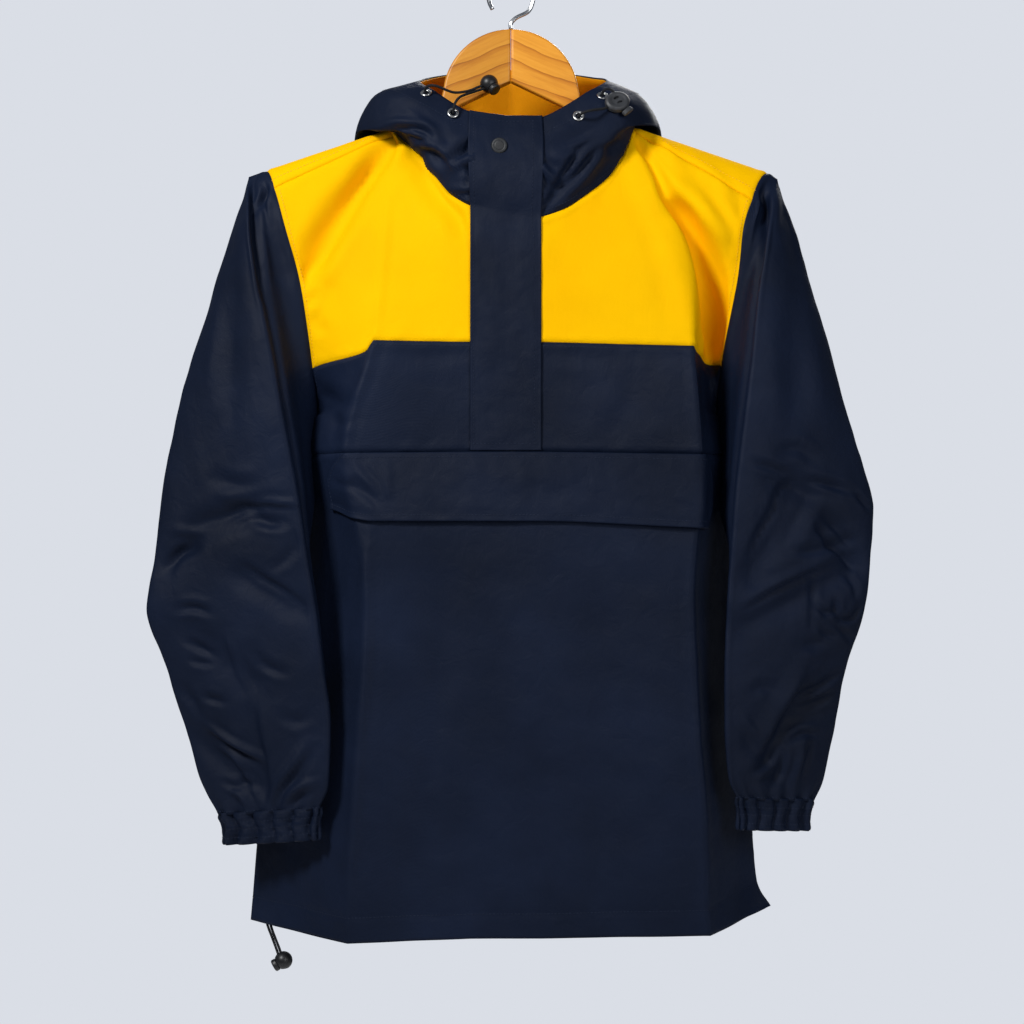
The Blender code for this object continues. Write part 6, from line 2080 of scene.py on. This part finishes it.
stitch_tree, teeth_tree = row_tree("stitch row", "thread"), row_tree("zip teeth", "tooth")


# %% Where the rows of stitching run
def at(values, value):
    """The number of the grid line nearest to a value."""
    return int(np.argmin(np.abs(values - value)))


def on_skin(index, part):
    """A line of skin points and their directions out; part picks it from a grid's index."""
    return outer[index[part]], skin.normals[index[part]]


INSET = 3  # grid lines from a seam to its row of stitches
fi, bi = front_index, back_index
left_zip, right_zip = at(FRONT_LINES, ZIP_LEFT), at(FRONT_LINES, ZIP_RIGHT)
shoulder_row, yoke_row = at(BODY_V, 1.0), at(BODY_V, YOKE_SEAM)
hem_row, armpit_row = at(BODY_V, HEM_STITCHES), at(BODY_V, ARMPIT)
crease_left, crease_right = at(FRONT_LINES, 1.0), at(FRONT_LINES, 6.0)

# across the hem, below and above the yoke seam, and beside the shoulder seam
navy_rows = [on_skin(fi, np.s_[hem_row]), on_skin(bi, np.s_[hem_row])]
navy_rows.append(on_skin(fi, np.s_[yoke_row + INSET, : left_zip + 1]))
navy_rows.append(on_skin(fi, np.s_[yoke_row + INSET, right_zip:]))
yellow_rows = [on_skin(bi, np.s_[yoke_row - INSET])]
yellow_rows.append(on_skin(fi, np.s_[shoulder_row - INSET, : crease_left - 2]))
yellow_rows.append(on_skin(fi, np.s_[shoulder_row - INSET, crease_right + 3 :]))

# beside the armholes, yellow on the yokes and navy below them
for index, first in ((fi, at(BODY_V, 1.15)), (bi, 2)):
    for column in (INSET, index.shape[1] - 1 - INSET):
        yellow_rows.append(on_skin(index, np.s_[first : yoke_row - 1, column]))
        navy_rows.append(on_skin(index, np.s_[yoke_row + 2 : armpit_row, column]))

# round the placket and the flap
left_col, right_col = at(even_x, PLACKET_LEFT + 2.6), at(even_x, PLACKET_RIGHT - 5.5)
box = (np.s_[4:-4, left_col], np.s_[4:-4, right_col])
box += (np.s_[-5, left_col : right_col + 1], np.s_[4, left_col : right_col + 1])
navy_rows += [(top_of_placket[part], placket_normals[part]) for part in box]
box = (np.s_[5, 3:-3], np.s_[-6, 3:-3], np.s_[3:-4, 3])
navy_rows += [(top_of_flap[part], flap_normals[part]) for part in box]

# round the hood's rim, its neck seam, the cuffs and the sleeves' ends
for side in ("left", "right"):
    navy_rows.append(on_skin(hood_index[side], np.s_[at(HOOD_SHARE, 0.80)]))
    navy_rows.append(on_skin(hood_index[side], np.s_[INSET, 8:]))
    for level in CUFF_ROWS:
        row = cuffs[side][at(CUFF_DROPS, level)]
        navy_rows.append((row, unit((row - row[:-1].mean(axis=0)) * (1, 1, 0))))
    navy_rows.append(on_skin(sleeve_index[side], np.s_[-2]))
navy_thread = plain_material("navy thread", (18, 27, 46), (30, 40, 62), 0.7, specular=0.2)
yellow_thread = plain_material("yellow thread", (236, 170, 0), (252, 196, 20), 0.6)
for colour, rows, thread in (
    ("navy", navy_rows, navy_thread),
    ("yellow", yellow_rows, yellow_thread),
):
    slot = colour + "_cloth"
    row_piece("stitches_" + colour, stitch_tree, rows, thread, slot, Width=0.0007)

# %% Zip teeth
TEETH = dict(Pitch=0.0026, Length=0.0012, Width=0.0026, Height=0.0012)
zip_lines = []
edge = fi[: at(BODY_V, FLAP_SEAM)]
a, b, out = outer[edge[:, left_zip]], outer[edge[:, right_zip]], skin.normals[edge[:, left_zip]]
for sign in (-1, 1):
    line = a + (b - a) * (0.5 + 0.11 * sign) + out * 0.5
    half_tooth = unit(np.gradient(line, axis=0)) * (0.65 * sign)  # the two sides interlock
    zip_lines.append((line + half_tooth, out))
row_piece("zip_teeth", teeth_tree, zip_lines, *FINISHES["teeth"], **TEETH)

# %% [markdown]
# ## The cut of the cloth
#
# A garment is cut flat before it is sewn. The size of each sheet's cut is read off its UV map
# and printed with its area: the panels hang, the cuffs are gathered by their elastic, and
# the placket and the flap are folded double.

def flat_size(item):
    """The width and length of a piece's pattern, from its UV map, in metres."""
    uvs = np.zeros(len(item.data.loops) * 2)
    item.data.uv_layers["cloth"].data.foreach_get("uv", uvs)
    uvs = uvs.reshape(-1, 2)
    return np.ptp(uvs[:, 0]), np.ptp(uvs[:, 1])


FILLED = 0.98  # the most of its rectangle that a cut can fill
for name, item in pieces.items():
    if name == "front_zip":
        continue
    width, length = flat_size(item)
    area = areas[name]
    width = max(width, area / (FILLED * length))
    print("%-18s %.3f x %.3f m, %.4f m2" % (name, width, length, area))
